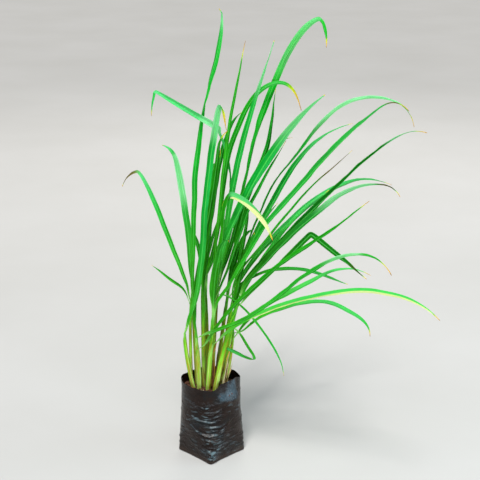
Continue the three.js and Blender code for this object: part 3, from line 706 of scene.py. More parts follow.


# Lengths are in millimetres. A heading is a compass bearing in degrees, 0 along +X and 90 along +Y.
# A lean is measured from the vertical, and a roll about the rib, at even steps from root to tip.
# A stem may have painted shade, a dark olive-brown on its sheaths standing in for shade on the stems
# at the back, and a core, how far its youngest leaf stands out.
# A blade is: how high on the stem it leaves it, heading, length, width, tone from dark to light, hue from
# yellow green to blue green, roll, lean. It may also have: taper, above 1 where it stays broad for longer;
# folds, where it turns sharply and by how much; tip, its withered share; collar, the reach of its pale
# start; the strength of a painted minty sheen where it lies flat; cream, the share of a cream margin, its
# sign the side; a stretch of painted whitish highlight and a brown scorched stretch, each from, to and how
# strong; dry, 1 where it is dead.
tillers = {
    "01": dict(foot=(-24, -6), radius=2.8, heading=180, length=84, lean=(13, 8, 4), core=-12, blades=[
        blade(82, -35, 359, 8.4, 0.6, 0.95, (-20, -50, -55, -55, -55, -50, -30), (28, 11, 6, 7, 12, 18),
            taper=3.5, folds=[(0.912, 149)], tip=0.08, frost=(0.78, 0.91))]),
    "02": dict(foot=(-27, 4), radius=2.1, heading=180, length=126, lean=(1, 0, -3), blades=[
        blade(124, 172, 222, 6.4, 0.65, 0.85, (-50, -70, -75, -75, -60, -50),
            (17, 16, 17, 20, 20, 20, 21, 23, 25, 30, 66, 100), taper=1.3, folds=[(0.86, 62)], tip=0.02,
            scorch=(0.86, 1)),
        blade(118, 195, 82, 4, 0.5, 0.3, (-50, -70, -75), (14, 34, 50, 45, 52))]),
    "03": dict(foot=(-19, 6), radius=2.7, heading=125, length=128, lean=(5, 4, 3), blades=[
        blade(126, 150, 219, 8.6, 0.7, 0.9, (-35, -45, -50, -55, -50, -35),
            (5, 4, 3, 5, 6, 8, 10, 13, 25, 85), taper=2.2, tip=0.01, frost=(0.6, 0.9)),
        blade(120, 62, 405, 7.6, 0.6, 0.7, (15, 25, 30, 33, 50, 95, 160, 198, 205),
            (-1, 1, 4, 5, 5, 8, 14, 24, 32, 28, 16, -2), taper=2.5, folds=[(0.972, -50)], tip=0.006,
            frost=(0.93, 1))]),
    "04": dict(foot=(-16, -9), radius=3.3, heading=190, length=78, lean=(0, 3, 7), blades=[
        blade(70, 20, 295, 6.6, 0.15, 0, (45, 60, 65, 60), (0, -1, 1, 5, 10, 12, 11, 11, 10, 9, 8, 10, 55),
            taper=2.2, tip=0.05),
        blade(76, -40, 367, 7, 0.45, 0.3, (75, 55, 50, 20), (66, 60, 61, 53, 50, 47, 50, 54, 67, 91, 142),
            taper=1.3, tip=0.05, collar=24, frost=(0.72, 0.86)),
        blade(60, -33, 355, 7.3, 0.3, 0.2, (75, 55, 50, 50),
            (62, 35, 35, 39, 43, 45, 46, 50, 52, 52, 49, 46, 50), tip=0.05, collar=24)]),
    "05": dict(foot=(-10, 1), radius=2.8, heading=75, length=132, lean=(0, 1, 4), shadeAndBrowning=0.3, blades=[
        blade(128, 22, 205, 5.1, 0.25, 0.2, (30, 30, 35, 30), (2, 7, 10, 8, 6)),
        blade(116, 12, 150, 4.7, 0.35, 0.2, (40, 50, 40), (3, 3, 11, 15, 18, 12))]),
    "06": dict(foot=(-4, -13), radius=3.3, heading=-25, length=122, lean=(4, 5, 3), blades=[
        blade(69, -30, 358, 6.6, 0.85, 0.45, (75, 55, 50, 45),
            (56, 46, 53, 58, 61, 66, 68, 71, 76, 86, 95, 110, 128), taper=1.9, tip=0.03, collar=28,
            wax=0.35, cream=-0.62),
        blade(120, -2, 332, 12.1, 0.6, 0.9, (-40, -75, -55, -62, -88, -95, -92),
            (-2, 10, 21, 25, 28, 34, 40, 52), taper=1.2, tip=0.001, frost=(0.76, 1, 0.8)),
        blade(117, -33, 254, 8.8, 0.2, 0.1, (50, 75, 75, 70, 60, 50, 45), (9, 10, 8, 7, 5, 20, 48, 70, 92),
            taper=2, folds=[(0.662, 66)], tip=0.05, wax=0.9, cream=-0.7),
        blade(108, -28, 424, 7.4, 0.6, 0.6, (-15, -40, -50, -40, 10),
            (12, 35, 28, 30, 31, 38, 40, 39, 41, 43, 48, 56, 134), taper=2.1, wax=0.8, scorch=(0.93, 1)),
        blade(112, -78, 190, 6.5, 0.4, 0.3, (10, 5), (10, 22, 36, 54, 80))]),
    "07": dict(foot=(2, -3), radius=3.1, heading=0, length=140, lean=(2, 1, 1), shadeAndBrowning=0.35, blades=[
        blade(132, 35, 343, 4.7, 0.45, 0.1, (35, 50, 45), (2, 5, 8, 9, 13, 15), taper=1.2, tip=0.09),
        blade(138, 5, 346, 8, 0.6, 0.85, (-75, -95, -80, -55), (19, 8, 8, 11, 13, 17, 18, 16), tip=0.005,
            frost=(0.8, 1)),
        blade(128, -8, 242, 5.6, 0.3, 0.4, (-44, -64, -54), (28, 24, 16, 19, 17, 26, 26, 30, 28)),
        blade(134, -12, 156, 4.2, 0.45, 0.9, (10, 20, 30), (75, 118, 132, 140, 145, 148, 158, 172),
            taper=1.3),
        blade(26, -20, 42, 5.6, 0.4, 0.4, (20, 20), (3, 9, 14), dry=1)]),
    "08": dict(foot=(6, -16), radius=3.5, heading=-8, length=140, lean=(10, 12, 15, 19), blades=[
        blade(138, -6, 284, 8.8, 0.22, 0.6, (-46, -76, -66, -36),
            (12, 34, 40, 39, 42, 43, 47, 48, 52, 65, 78, 104, 150), tip=0.04, frost=(0.6, 0.86),
            scorch=(0.885, 0.95)),
        blade(128, -14, 238, 7.6, 0.08, 0, (-25, -45, -50, -80, -90, -80, -50), (44, 43, 41, 41, 42, 42),
            taper=2, folds=[(0.615, 85)], tip=0.01, wax=0, scorch=(0.88, 1, 0.6)),
        blade(98, -30, 104, 5.2, 0.4, 0.9, (-10, -10, 10, 90, 105), (116, 142, 140, 138, 137), taper=3,
            folds=[(0.535, 143)])]),
    "09": dict(foot=(13, -6), radius=3, heading=6, length=112, lean=(11, 10, 9), blades=[
        blade(110, 4, 281, 3.8, 0.25, 0.2, (45, 30), (-6, 4, 34, 40, 37, 39, 40, 46, 49, 46), tip=0.03,
            scorch=(0.8, 1)),
        blade(104, -2, 372, 8, 0.08, 0.3, (-57, -82, -82, -72, -37, -22, -22),
            (9, 18, 36, 40, 42, 41, 45, 46, 42, 48, 51, 66, 106), taper=1.7, tip=0.03, frost=(0.86, 0.98)),
        blade(98, 14, 230, 5.6, 0.85, 0.6, (40, 60, 50), (17, 28, 37, 46, 64)),
        blade(108, 12, 118, 6.5, 0.2, 0.4, (60, 50), (8, 9, 13, 19, 22), tip=0.02),
        blade(14, 0, 52, 5.6, 0.4, 0.4, (30, 30), (12, 15, 19), dry=0.8)]),
    "10": dict(foot=(20, 2), radius=2.2, heading=10, length=80, lean=(11, 8, 6), blades=[
        blade(78, -22, 226, 6, 0.65, 0.55, (25, 45, 40, 60),
            (84, 50, 48, 57, 63, 65, 72, 79, 92, 110, 114, 136, 178), taper=1.8, wax=0.5),
        blade(70, -12, 225, 7, 0.8, 0.35, (30, 50, 40, 10), (38, 41, 50, 57, 58, 60, 85, 118))]),
    "11": dict(foot=(-10, 12), radius=2.9, heading=95, length=150, lean=(4, 5, 6), shadeAndBrowning=0.3, blades=[
        blade(146, 20, 354, 8.2, 0.75, 0.95, (20, 10, 0, -8, -15, -15, -15, -12, 80, 82, 80, 80, 80),
            (38, 27, 20, 13, 6, -3, -12, -19, -17, -15, -15, -18, -32), taper=1.5,
            folds=[(0.625, -42), (0.91, -104)], tip=0.03, frost=(0.6, 0.7)),
        blade(140, 8, 358, 7, 0.5, 0.3, (50, 75, 70, 60, 75),
            (20, 18, 12, 8, 7, 8, 12, 21, 25, 40, 74, 143, 165), taper=1.8, tip=0.13, wax=0.25)]),
    "12": dict(foot=(1, 9), radius=2.9, heading=55, length=148, lean=(5, 6, 7), shadeAndBrowning=0.9, blades=[
        blade(146, 20, 424, 8.8, 0.55, 0.6, (30, 10, 0, -5, 0, 45, 65, 65, 50, 75),
            (20, 17, 15, 15, 18, 16, 13, 14, 16, 19, 22, 25, 31, 37, 58, 80, 102), taper=3.2,
            folds=[(0.905, 80)], tip=0.015, wax=0.5, frost=(0.7, 0.9, 0.4)),
        blade(140, 36, 281, 7.4, 0.3, 0.5, (40, 55, 55, 10), (26, 20, 22, 33, 11, 7), tip=0.02)]),
    "13": dict(foot=(11, 6), radius=2.8, heading=25, length=136, lean=(9, 10, 12), blades=[
        blade(134, 18, 426, 6.2, 0.25, 0.7, (10, -8, -20, -15, 20, 45, 45, 20),
            (14, 17, 23, 26, 45, 38, 55, 88, 116, 166), taper=1.3, tip=0.05, frost=(0.6, 0.9)),
        blade(130, 6, 293, 7.9, 0.45, 0.95, (-75, -90, -80, -50), (14, 17, 26, 28, 29, 38, 57, 75),
            tip=0.03),
        blade(124, 28, 313, 8.2, 0.3, 0.95, (45, 60, 40, 10), (21, 49, 57, 81, 115), wax=0.45),
        blade(130, 65, 125, 5.6, 0.2, 0.4, (20, 40), (22, 24, 26, 10))]),
    "14": dict(foot=(8, 18), radius=2.7, heading=50, length=130, lean=(9, 11, 14), shadeAndBrowning=0.7, blades=[
        blade(118, 10, 187, 6, 0.25, 0.6, (20, 30, 40), (44, 65, 92, 111, 113), taper=1.8, tip=0.02,
            wax=0.2),
        blade(128, 22, 140, 5.4, 0.25, 0.4, (45, 60, 50), (19, 23, 31, 33, 41, 43), tip=0.02),
        blade(124, 60, 290, 7.4, 0.2, 0.4, (15, 5), (16, 22, 32, 48, 74, 100)),
        blade(112, 70, 150, 7, 0.2, 0.4, (20, 10), (20, 34, 48, 66, 84, 104), tip=0.02)]),
    "15": dict(foot=(-4, 21), radius=2.7, heading=100, length=128, lean=(8, 9, 11), shadeAndBrowning=0.7, blades=[
        blade(126, 72, 300, 7.4, 0.2, 0.4, (15, 10), (10, 14, 24, 40, 62, 90)),
        blade(120, 86, 250, 6.5, 0.3, 0.4, (-10, 5), (14, 22, 34, 52, 80, 112)),
        blade(104, 104, 170, 6, 0.3, 0.4, (-10, 0), (20, 36, 58, 84, 112))]),
}


def eased(values, u):
    # eased through values given at even steps, as a uniform spline
    knots = np.array(values, float)
    last = len(knots) - 1
    place = np.clip(u, 0, 1) * last
    i = np.minimum(place.astype(int), last)
    w = place - i
    before, here = knots[np.maximum(i - 1, 0)], knots[i]
    after, beyond = knots[np.minimum(i + 1, last)], knots[np.minimum(i + 2, last)]
    leave, arrive = (after - before) / 2, (beyond - here) / 2
    return ((2 * here - 2 * after + leave + arrive) * w ** 3
            + (-3 * here + 3 * after - 2 * leave - arrive) * w ** 2 + leave * w + here)


def compass(heading):
    # level directions along a bearing and to the left of it
    turn = math.radians(heading)
    return np.array([math.cos(turn), math.sin(turn), 0]), np.array([-math.sin(turn), math.cos(turn), 0])


def leanAt(growth, u):
    angle = eased(growth["lean"], u)
    half = leaf["foldLength"] / mm / 2 / growth["length"]
    for where, turn in growth.get("folds", ()):
        angle = angle + turn * smoothstep(u, where - half, where + half)
    return np.radians(angle)


def walk(growth, start, u):
    # points at the fractions u along a leaning line from the start
    fine = np.linspace(0, 1, int(growth["length"]) * 2)
    lean = leanAt(growth, (fine[1:] + fine[:-1]) / 2)
    step = growth["length"] * mm * (fine[1] - fine[0])
    along, rise = (np.interp(u, fine, np.concatenate([[0], np.cumsum(part) * step]))[:, None]
                   for part in (np.sin(lean), np.cos(lean)))
    return start + along * compass(growth["heading"])[0] + rise * upward


def facing(heading, lean, roll):
    # which way a strip's side and its upper face point, ring by ring, as it leans and rolls
    out, left = compass(heading)
    face = -np.cos(lean)[:, None] * out + np.sin(lean)[:, None] * upward
    c, s = np.cos(roll)[:, None], np.sin(roll)[:, None]
    return c * left + s * face, c * face - s * left


def stemPoint(tiller, height):
    # points on a stem's middle line at heights above the soil; below it the line goes straight down
    foot = np.array([tiller["foot"][0] * mm, tiller["foot"][1] * mm, soil["level"]])
    points = walk(tiller, foot, np.clip(height / (tiller["length"] * mm), 0, 1))
    points[:, 2] += np.minimum(height, 0)
    return points


def stemRadius(tiller, height, layer):
    swollen = np.clip(1 - np.abs(height) / stem["swellingReach"], 0, 1)
    foot = 1 + (stem["swelling"] - 1) * swollen
    share = np.clip(height / (tiller["length"] * mm), 0, 1.1)
    return tiller["radius"] * mm * (foot + (stem["top"] - foot) * share) * (1 - leaf["layer"] * layer)


def leafStations(growth):
    # distances from the collar, negative down the sheath, closer together where the blade bends
    length, mouth, steps = growth["length"] * mm, -leaf["mouth"] * 1.2, 900
    fine = np.linspace(0, 1, steps)
    bend = np.abs(np.gradient(np.degrees(leanAt(growth, fine)), fine * length))
    collar = np.exp(-(fine * length / leaf["collarReach"]) ** 2) / leaf["collarSpacing"]
    degrees, closest = leaf["bendSpacing"]
    density = 1 / leaf["spacing"] + np.minimum(bend / degrees, 1 / closest) + collar
    spent = np.concatenate([[0], np.cumsum((density[1:] + density[:-1]) / 2 * length / (steps - 1))])
    beyond = np.interp(np.linspace(0, spent[-1], int(spent[-1]) + 2), spent, fine) * length
    bottom = -(growth["at"] * mm + stem["depth"])
    lower = np.arange(bottom, mouth, stem["spacing"])
    upper = np.arange(max(bottom, mouth) + 2 * mm, -0.5 * mm, leaf["mouthSpacing"])
    return np.concatenate([lower, upper, beyond])


def patchAlong(patch, u):
    # 1 inside a stretch of the blade and 0 outside it, or less where a strength is given
    start, end, strength = (*patch, 1)[:3]
    ease = (end - start) / 4
    return strength * smoothstep(u, start - ease, start + ease) * (1 - smoothstep(u, end - 0.01, end + 0.02))


def makeLeaf(tiller, growth, layer, rng):
    # one leaf from the foot of its sheath to its tip: a strip rolled round the stem that opens at the
    # collar into a channelled blade. Returns its rings of points and what the material reads.
    s = leafStations(growth)
    length, width, dry = growth["length"] * mm, growth["width"] * mm, growth["dry"]
    u = np.clip(s / length, 0, 1)
    height = growth["at"] * mm + np.minimum(s, 0)
    out, left = compass(growth["heading"])

    # middle line: outside the stem along the sheath, then easing onto the blade's own line
    radius = stemRadius(tiller, height, layer)
    collarPoint = stemPoint(tiller, np.array([growth["at"] * mm]))[0]
    line = np.where((s < 0)[:, None], stemPoint(tiller, height), walk(growth, collarPoint, u))
    line = line + out * (radius * (1 - smoothstep(s, *leaf["clears"])))[:, None]
    ease = smoothstep(s, *leaf["strays"])
    drift, driftLength = leaf["wander"]
    line = line + left * (drift * wobble(rng, s, driftLength) * ease)[:, None]

    # directions: the sheath stands upright, the blade leans and rolls
    lean = leanAt(growth, u) * smoothstep(s, *leaf["leans"])
    twist, twistLength = leaf["twist"]
    twisted = twist * wobble(rng, s, twistLength) * ease
    roll = np.radians(eased(growth["roll"], u) * smoothstep(s, *leaf["rolls"]) + twisted)
    side, top = facing(growth["heading"], lean, roll)

    # section: half-width, how far it is rolled up, and the depth of its channel
    beyond = np.clip((u - leaf["broadest"]) / (1 - leaf["broadest"]), 0, 1)
    widthAt = np.minimum(u, leaf["broadest"]) + (1 - leaf["broadest"]) * beyond ** growth["taper"]
    halfBlade = width / 2 * np.maximum(eased(leaf["shape"], widthAt), 0.02)
    closed = math.radians(leaf["wrap"] - leaf["deadWrap"] * (dry > 0)) * radius
    opening = smoothstep(s, -leaf["mouth"], -1 * mm)
    half = closed + (halfBlade - closed) * opening
    uncurl = smoothstep(s, *leaf["opens"])
    curl = 1 / radius * (1 - uncurl) + (1 / leaf["bladeCurl"]) * uncurl
    nearFold, lying = np.zeros_like(s), smoothstep(np.abs(np.sin(lean)), *leaf["lies"])
    for where, _ in growth["folds"]:
        past = (u - where) * length
        nearFold = np.maximum(nearFold, np.exp(-(past / leaf["foldFlat"]) ** 2))
        lying = np.maximum(lying, np.exp(-(past / leaf["foldLies"]) ** 2) * (past < 2 * mm))
    byChance, nearCollar, inTip = leaf["channelGrowth"]
    channel = math.tan(math.radians(leaf["channel"])) * smoothstep(s, -1 * mm, 25 * mm) * (1 - nearFold)
    chanceLength, collarLengths = leaf["channelLengths"]
    channel = channel * (1 + byChance * wobble(rng, s, chanceLength)
                         + nearCollar * (1 - smoothstep(s, *collarLengths)))
    channel = channel * (1 + inTip * smoothstep(u, 1 - growth["tip"] * 1.3, 1))

    t = across[None, :]
    turn = curl[:, None] * half[:, None] * t
    spiral = 1 + leaf["overlap"] * t * (1 - opening[:, None])
    x = np.sin(turn) * spiral / curl[:, None]
    y = (1 - np.cos(turn) * spiral) / curl[:, None]
    soft = leaf["ribSoftness"]
    vee = (np.sqrt(t ** 2 + soft ** 2) - soft) / (math.sqrt(1 + soft ** 2) - soft)
    y = y + channel[:, None] * half[:, None] * vee
    leftWave, rightWave = (wobble(rng, s, waveLength) for waveLength in leaf["waveLengths"])
    y = y + (leaf["wave"] * width * ease)[:, None] * t ** 2 * np.where(
        t < 0, leftWave[:, None], rightWave[:, None])

    # thickness, with the midrib standing out underneath
    ribbed = smoothstep(s, *leaf["ribbed"]) * (1 - leaf["ribFade"] * u)
    ribShare = np.exp(-(t / leaf["ribWidth"]) ** 2) * ribbed[:, None]
    skin = leaf["edge"] + (leaf["lamina"] - leaf["edge"]) * (1 - np.abs(t) ** 3)
    skin = skin + (leaf["rib"] - leaf["lamina"]) * ribShare
    narrow, thinnest = leaf["narrow"]
    skin = skin * np.clip(half / narrow, thinnest, 1)[:, None]
    upper = line[:, None] + side[:, None] * x[..., None] + top[:, None] * y[..., None]
    normal = side[:, None] * (-np.sin(turn))[..., None] + top[:, None] * np.cos(turn)[..., None]
    lower = upper - normal * skin[..., None]

    # where a cream margin starts, and how it widens towards the tip
    creamFrom = growth["folds"][0][0] if growth["folds"] else leaf["creamFrom"]
    widening = 1.5 if growth["folds"] else 0.7
    creamy = smoothstep(u, creamFrom, creamFrom + 0.02) * (
        1 + widening * smoothstep(u, creamFrom + 0.04, 0.92))
    # painted sheen where the blade lies flat, standing in for reflected light
    waxy = lying * growth["wax"] * smoothstep(s, *leaf["waxy"])
    if growth["cream"]:
        waxy = waxy * smoothstep(u, creamFrom - 0.02, creamFrom + 0.02)
    wilt = np.maximum(smoothstep(u, 1 - growth["tip"] - rng.uniform(0, 0.03), 1.0), dry)
    return np.concatenate([upper, lower[:, ::-1]], 1), {
        "across": np.concatenate([across, across[::-1]])[None, :],
        "under": np.repeat([0.0, 1.0], len(across))[None, :],
        "along": s,
        "tone": growth["tone"],
        "hue": growth["hue"],
        "wilt": wilt,
        "pale": 1 - smoothstep(s, -growth["at"] * mm, leaf["paleTo"]),
        "young": 1 - smoothstep(s, *leaf["young"]),
        "collar": np.exp(-((s / mm - 5) / growth["collar"]) ** 2),
        "cream": growth["cream"] * creamy,
        "scorch": patchAlong(growth["scorch"], u),
        "frost": patchAlong(growth["frost"], u),
        "waxy": waxy,
        # painted shade for stems at the back, and browning where the leaf is dead
        "shadeAndBrowning": max(tiller.get("shadeAndBrowning", 0), dry),
    }


def makeCore(tiller, layers, rng):
    # the youngest leaf, still rolled up in the middle of the stem and coming to a point at its top
    length = tiller["length"] * mm
    top = length + tiller.get("core", 9) * mm
    tip = top - stem["coreTip"]
    height = np.concatenate([
        np.arange(-stem["depth"], tip, stem["spacing"]), np.linspace(tip + 1 * mm, top, stem["coreRings"])])
    radius = stemRadius(tiller, height, layers) * stem["coreFit"]
    narrowing = smoothstep(height, top - stem["corePoint"], top + 0.5 * mm)
    radius = radius * np.sqrt(np.clip(1 - narrowing, 0.01, 1))
    centre = stemPoint(tiller, height)
    centre[:, 2] += np.maximum(height - length, 0)
    turn = bearings(stem["coreAround"])
    seam = 1 + stem["coreSeam"] * turn / fullTurn
    rings = centre[:, None] + ringPoints(radius[:, None] * seam, turn + rng.uniform(0, fullTurn), 0)
    return rings, {
        "across": np.linspace(-1, 1, len(turn))[None, :],
        "under": 1,
        "along": height - length,
        "tone": 0.7,
        "hue": 0.2,
        "wilt": 0,
        "pale": 1 - smoothstep(height, 0, length + leaf["paleTo"]),
        "young": 1,
        "shadeAndBrowning": tiller.get("shadeAndBrowning", 0),
        **dict.fromkeys(("collar", "cream", "scorch", "frost", "waxy"), 0),
    }


# colours, and ramps of them from shade to light, of the leaves and sheaths
leafLook = {
    "green": [(0.10, (0.001, 0.052, 0.001)), (0.35, (0.002, 0.190, 0.003)), (0.62, (0.004, 0.400, 0.012)),
              (0.95, (0.045, 0.640, 0.045))],
    "blueGreen": [(0.12, (0.001, 0.06, 0.006)), (0.5, (0.002, 0.32, 0.034)), (0.95, (0.040, 0.65, 0.150))],
    "yellowGreen": [(0.12, (0.009, 0.07, 0.001)), (0.5, (0.028, 0.33, 0.003)), (0.95, (0.130, 0.66, 0.014))],
    "young": [(0.15, (0.025, 0.17, 0.003)), (0.5, (0.07, 0.40, 0.008)), (0.9, (0.17, 0.66, 0.016))],
    "sheath": [(0.05, (0.02, 0.26, 0.010)), (0.34, (0.05, 0.42, 0.012)), (0.58, (0.19, 0.60, 0.025)),
               (0.82, (0.30, 0.70, 0.04)), (0.97, (0.46, 0.76, 0.10)), (1.0, (0.56, 0.78, 0.20))],
    "scorched": [(0.15, (0.050, 0.030, 0.004)), (0.7, (0.20, 0.085, 0.012))],
    "dead": [(0.15, (0.22, 0.62, 0.02)), (0.38, (0.62, 0.68, 0.03)), (0.66, (0.86, 0.62, 0.07)),
             (0.92, (0.84, 0.48, 0.07)), (1.0, (0.55, 0.26, 0.05))],
    # painted sheen and painted highlight, standing in for light reflected off the blades
    "wax": (0.170, 0.780, 0.290),
    "frost": (0.43, 0.90, 0.50),
    "vein": (0.02, 0.62, 0.03),
    "underside": (0.006, 0.26, 0.020),
    "shadeAndBrowning": (0.060, 0.050, 0.008),
    "collar": (0.46, 0.84, 0.22),
    "stripe": (0.42, 0.22, 0.015),
    "rib": (0.14, 0.76, 0.13),
    # a painted highlight along the margins
    "margin": (0.10, 0.64, 0.05),
    "driedEdge": (0.22, 0.085, 0.020),
    "cream": (0.80, 0.80, 0.36),
    "lightThrough": (0.02, 0.70, 0.004),
    "throughShare": 0.30,
    "roughness": (0.36, 0.50),
    "specular": 0.03,
}


def leafMaterial():
    startMaterial("lemongrassLeaf")
    look = leafLook
    acrossLeaf, along, tone, hue, wilt, pale, under, young, collar, cream, scorch, frost, waxy, shadeAndBrowning = (
        readAttributes("across", "along", "tone", "hue", "wilt", "pale", "under", "young", "collar",
                       "cream", "scorch", "frost", "waxy", "shadeAndBrowning"))
    middle = calc("ABSOLUTE", acrossLeaf)

    def paint(over, share, colour):
        return blendColours(share, over, colour)

    def streaky(widths, lengths, apart, scale, detail=3, roughness=0.6):
        # noise drawn out along the leaf, another for each tone
        at = stretched((acrossLeaf, widths), (along, lengths), (tone, apart))
        return speckle(at, scale, detail, roughness)

    streaks = streaky(3.2, 10.0, 90.0, 2.4)
    bands = streaky(2.6, 5.0, 60.0, 2.0)
    veins = calc("SINE", times(acrossLeaf, 42.0))
    shade = plus(times(tone, 0.75), soften(streaks, 0.25, 0.75, 0.0, 0.38))
    # painted light and shade: one half of a blade is painted lighter than the other, as if it caught more
    # light
    shade = plus(shade, soften(acrossLeaf, -0.10, 0.10, -0.09, 0.09))
    shade = unsettle(shade, speckle(position(), 26), 0.4)
    green = colourRamp(shade, look["green"])
    green = paint(green, soften(hue, 0.5, 1.0, 0.0, 0.75), colourRamp(shade, look["blueGreen"]))
    green = paint(green, soften(hue, 0.0, 0.5, 0.6, 0.0), colourRamp(shade, look["yellowGreen"]))
    # painted sheen: parts that lie flatter are painted a minty green, standing in for reflected light, and
    # the stretches of painted whitish highlight show in streaks and along the edges
    green = paint(green, times(waxy, 0.75), look["wax"])
    # painted whitish highlight, in streaks and along the edges, over the stretches given for each blade
    frosty = calc("MAXIMUM", soften(streaks, 0.45, 0.65, 0.38, 0.95), soften(middle, 0.45, 0.9, 0.0, 0.85))
    green = paint(green, times(frost, frosty), look["frost"])
    green = paint(green, soften(veins, 0.2, 1.0, 0.0, 0.14), look["vein"])
    green = paint(green, times(under, 0.25), look["underside"])
    # the lower blade is a yellower green, and the sheath turns paler down to its foot
    green = paint(green, times(young, 0.6), colourRamp(shade, look["young"]))
    stemward = colourRamp(unsettle(pale, bands, 1.8), look["sheath"])
    colour = paint(green, soften(pale, 0.0, 0.45), stemward)
    # painted shade as a dark olive-brown on the sheaths of stems at the back, also the browning of dead
    # leaves
    shadedAndBrowned = times(times(shadeAndBrowning, soften(bands, 0.30, 0.62)), soften(pale, 0.12, 0.5))
    colour = paint(colour, shadedAndBrowned, look["shadeAndBrowning"])
    # the pale collar where a sheath turns into its blade
    colour = paint(colour, times(collar, soften(bands, 0.3, 0.6, 0.45, 0.85)), look["collar"])
    # orange-brown stripes that run up the sheaths
    stripes = soften(streaky(3.4, 9.0, 37.0, 2.4, 2, 0.55), 0.48, 0.57)
    colour = paint(colour, times(stripes, soften(pale, 0.42, 0.66, 0.0, 0.85)), look["stripe"])
    # midrib, painted highlights along the margins, and thin brown lines where a sheath's edge has dried
    ribBand = times(soften(middle, 0.06, 0.20, 0.50, 0.0), soften(pale, 0.2, 0.6, 1.0, 0.0))
    colour = paint(colour, ribBand, look["rib"])
    colour = paint(colour, soften(middle, 0.86, 0.98, 0.0, 0.40), look["margin"])
    dried = times(soften(middle, 0.90, 0.985), soften(pale, 0.45, 0.62))
    colour = paint(colour, times(dried, 0.75), look["driedEdge"])
    creamEdge = plus(times(acrossLeaf, calc("SIGN", cream)), times(calc("ABSOLUTE", cream), 1.2))
    colour = paint(colour, soften(creamEdge, 1.0, 1.3), look["cream"])
    # parts that have gone dark brown
    scorched = times(scorch, soften(streaks, 0.2, 0.45, 0.6, 1.0))
    colour = paint(colour, times(scorched, 0.92), colourRamp(shade, look["scorched"]))
    # withering from the tip
    wiltAt = unsettle(wilt, streaks, 0.35)
    colour = paint(colour, soften(wiltAt, 0.06, 0.32), colourRamp(wiltAt, look["dead"]))

    ridged = bumpFrom([(veins, 0.22, 0.12 * mm), (streaks, 0.25, 0.4 * mm)])
    rough = plus(soften(streaks, 0.2, 0.8, *look["roughness"]), times(wilt, 0.25))
    skin = addSkin(colour, rough, ridged, look["specular"], IOR=1.45)
    through = paint(colour, 0.5, look["lightThrough"])
    return finishMaterial(letThrough(skin, through, ridged, look["throughShare"]))


def gather(name, parts, material, replaced=()):
    # makes one piece of several closed ring bodies, with what the material reads point by point
    points, faces, readings, first = [], [], {}, 0
    for rings, values in parts:
        shape = rings.shape[:2]
        points.append(rings.reshape(-1, 3))
        faces += ringFaces(*shape, first)
        first += shape[0] * shape[1]
        for key, value in values.items():
            value = np.asarray(value, float)
            value = value[:, None] if value.ndim == 1 else value
            readings.setdefault(key, []).append(np.broadcast_to(value, shape).ravel())
    makePiece(name, np.concatenate(points), faces, material, replaced,
              {key: np.concatenate(values) for key, values in readings.items()})


grass = leafMaterial()
for number, tiller in tillers.items():
    rng = np.random.default_rng(leaf["seed"] + int(number))
    blades = sorted(tiller["blades"], key=lambda growth: growth["at"])
    leaves = [makeLeaf(tiller, growth, layer, rng) for layer, growth in enumerate(blades)]
    gather("leaves_" + number, leaves, grass, ["tiller_" + number])
    gather("stem_" + number, [makeCore(tiller, len(blades), rng)], grass)
print("tillers made:", len(tillers))

# strips of old sheaths that stand by the stems or lie curled on the soil

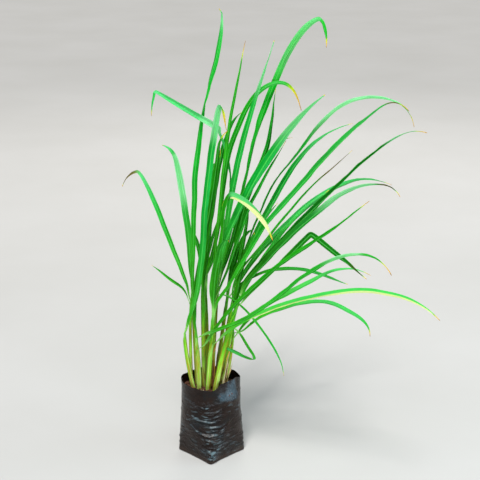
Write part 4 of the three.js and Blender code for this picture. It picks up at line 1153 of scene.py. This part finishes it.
strip = {
    "keys": ("foot", "heading", "length", "width", "brown", "lean"),  # brown goes from 0 to 1
    "rows": [
        ((16, -9), 8, 56, 3.4, 0.15, (9, 11, 10, 14)),
        ((18, -7), 16, 47, 2.6, 0.35, (13, 12, 10, 22)),
        ((13, -11), -4, 52, 2.2, 0.85, (7, 10, 12, 10)),
        ((21, -4), 20, 40, 2.2, 0.3, (12, 15, 22)),
        ((11, -13), -50, 13, 3.2, 0.6, (30, 60, 95, 125)),
        ((15, -13), -15, 12, 3.4, 0.5, (40, 75, 110)),
        ((19, -10), -35, 13, 2.8, 0.7, (25, 70, 115)),
        ((3, -9), 80, 46, 2.4, 0.9, (3, 2, 5)),
        ((-1, -5), 120, 38, 2.2, 0.95, (3, 4, 2)),
        ((-8, -9), 200, 34, 2.2, 0.85, (2, 4, 7)),
        ((-12, -14), -80, 9, 3.4, 0, (50, 85, 100)),
        ((-21, -10), 215, 11, 2.6, 0.7, (35, 70, 105)),
        ((1, -21), -70, 9, 2.8, 0.4, (55, 85, 100)),
        ((-3, 3), 60, 58, 2.4, 0.75, (4, 3, 6)),
        ((5, 4), 40, 62, 2.2, 0.9, (6, 8, 7)),
    ],
    "bedded": 1.5 * mm,
    "spacing": 1.2,  # millimetres between its rings
    "thickness": 0.12 * mm,
    "curl": 0.7,  # how far its edges rise, against its half-width
    "twist": (30, 40),  # degrees: the most it is turned to start with, and of its uneven twist
    "seed": 41,
    "colours": [(0.0, (0.80, 0.76, 0.50)), (0.35, (0.66, 0.50, 0.20)), (0.62, (0.42, 0.19, 0.05)),
                (0.95, (0.10, 0.035, 0.012))],
}


def stripMaterial():
    startMaterial("oldSheath")
    acrossStrip, along, brown = readAttributes("across", "along", "brown")
    grain = speckle(stretched((acrossStrip, 3.0), (along, 60.0), (brown, 40.0)), 2.0)
    colour = colourRamp(unsettle(brown, grain, 0.9), strip["colours"])
    ridged = bumpFrom([(grain, 0.4, 0.4 * mm)])
    skin = addSkin(colour, 0.62, ridged, 0.2)
    return finishMaterial(letThrough(skin, colour, ridged, 0.25))


def makeStrip(growth, rng):
    u = np.linspace(0, 1, max(8, int(growth["length"] / strip["spacing"])))
    line = walk(growth, np.array([
        growth["foot"][0] * mm, growth["foot"][1] * mm, soil["level"] - strip["bedded"]]), u)
    turned, twisted = strip["twist"]
    roll = np.radians(rng.uniform(-turned, turned) + twisted * wobble(rng, u, 0.8))
    side, top = facing(growth["heading"], leanAt(growth, u), roll)
    half = growth["width"] * mm / 2 * (1 - smoothstep(u, 0.55, 1.05)) * (1 + 0.2 * wobble(rng, u, 0.3))
    t = np.linspace(-1, 1, 7)
    x = half[:, None] * t
    y = half[:, None] * (strip["curl"] * t ** 2 + 0.12 * wobble(rng, u, 0.25)[:, None] * t)
    upper = line[:, None] + side[:, None] * x[..., None] + top[:, None] * y[..., None]
    lower = upper - top[:, None] * strip["thickness"]
    return np.concatenate([upper, lower[:, ::-1]], 1), {
        "across": np.concatenate([t, t[::-1]])[None, :],
        "along": u * growth["length"] * mm,
        "brown": growth["brown"],
    }


rng = np.random.default_rng(strip["seed"])
sheaths = [makeStrip(dict(zip(strip["keys"], row)), rng) for row in strip["rows"]]
gather("oldSheaths", sheaths, stripMaterial())
print("old sheaths made")

print("done")
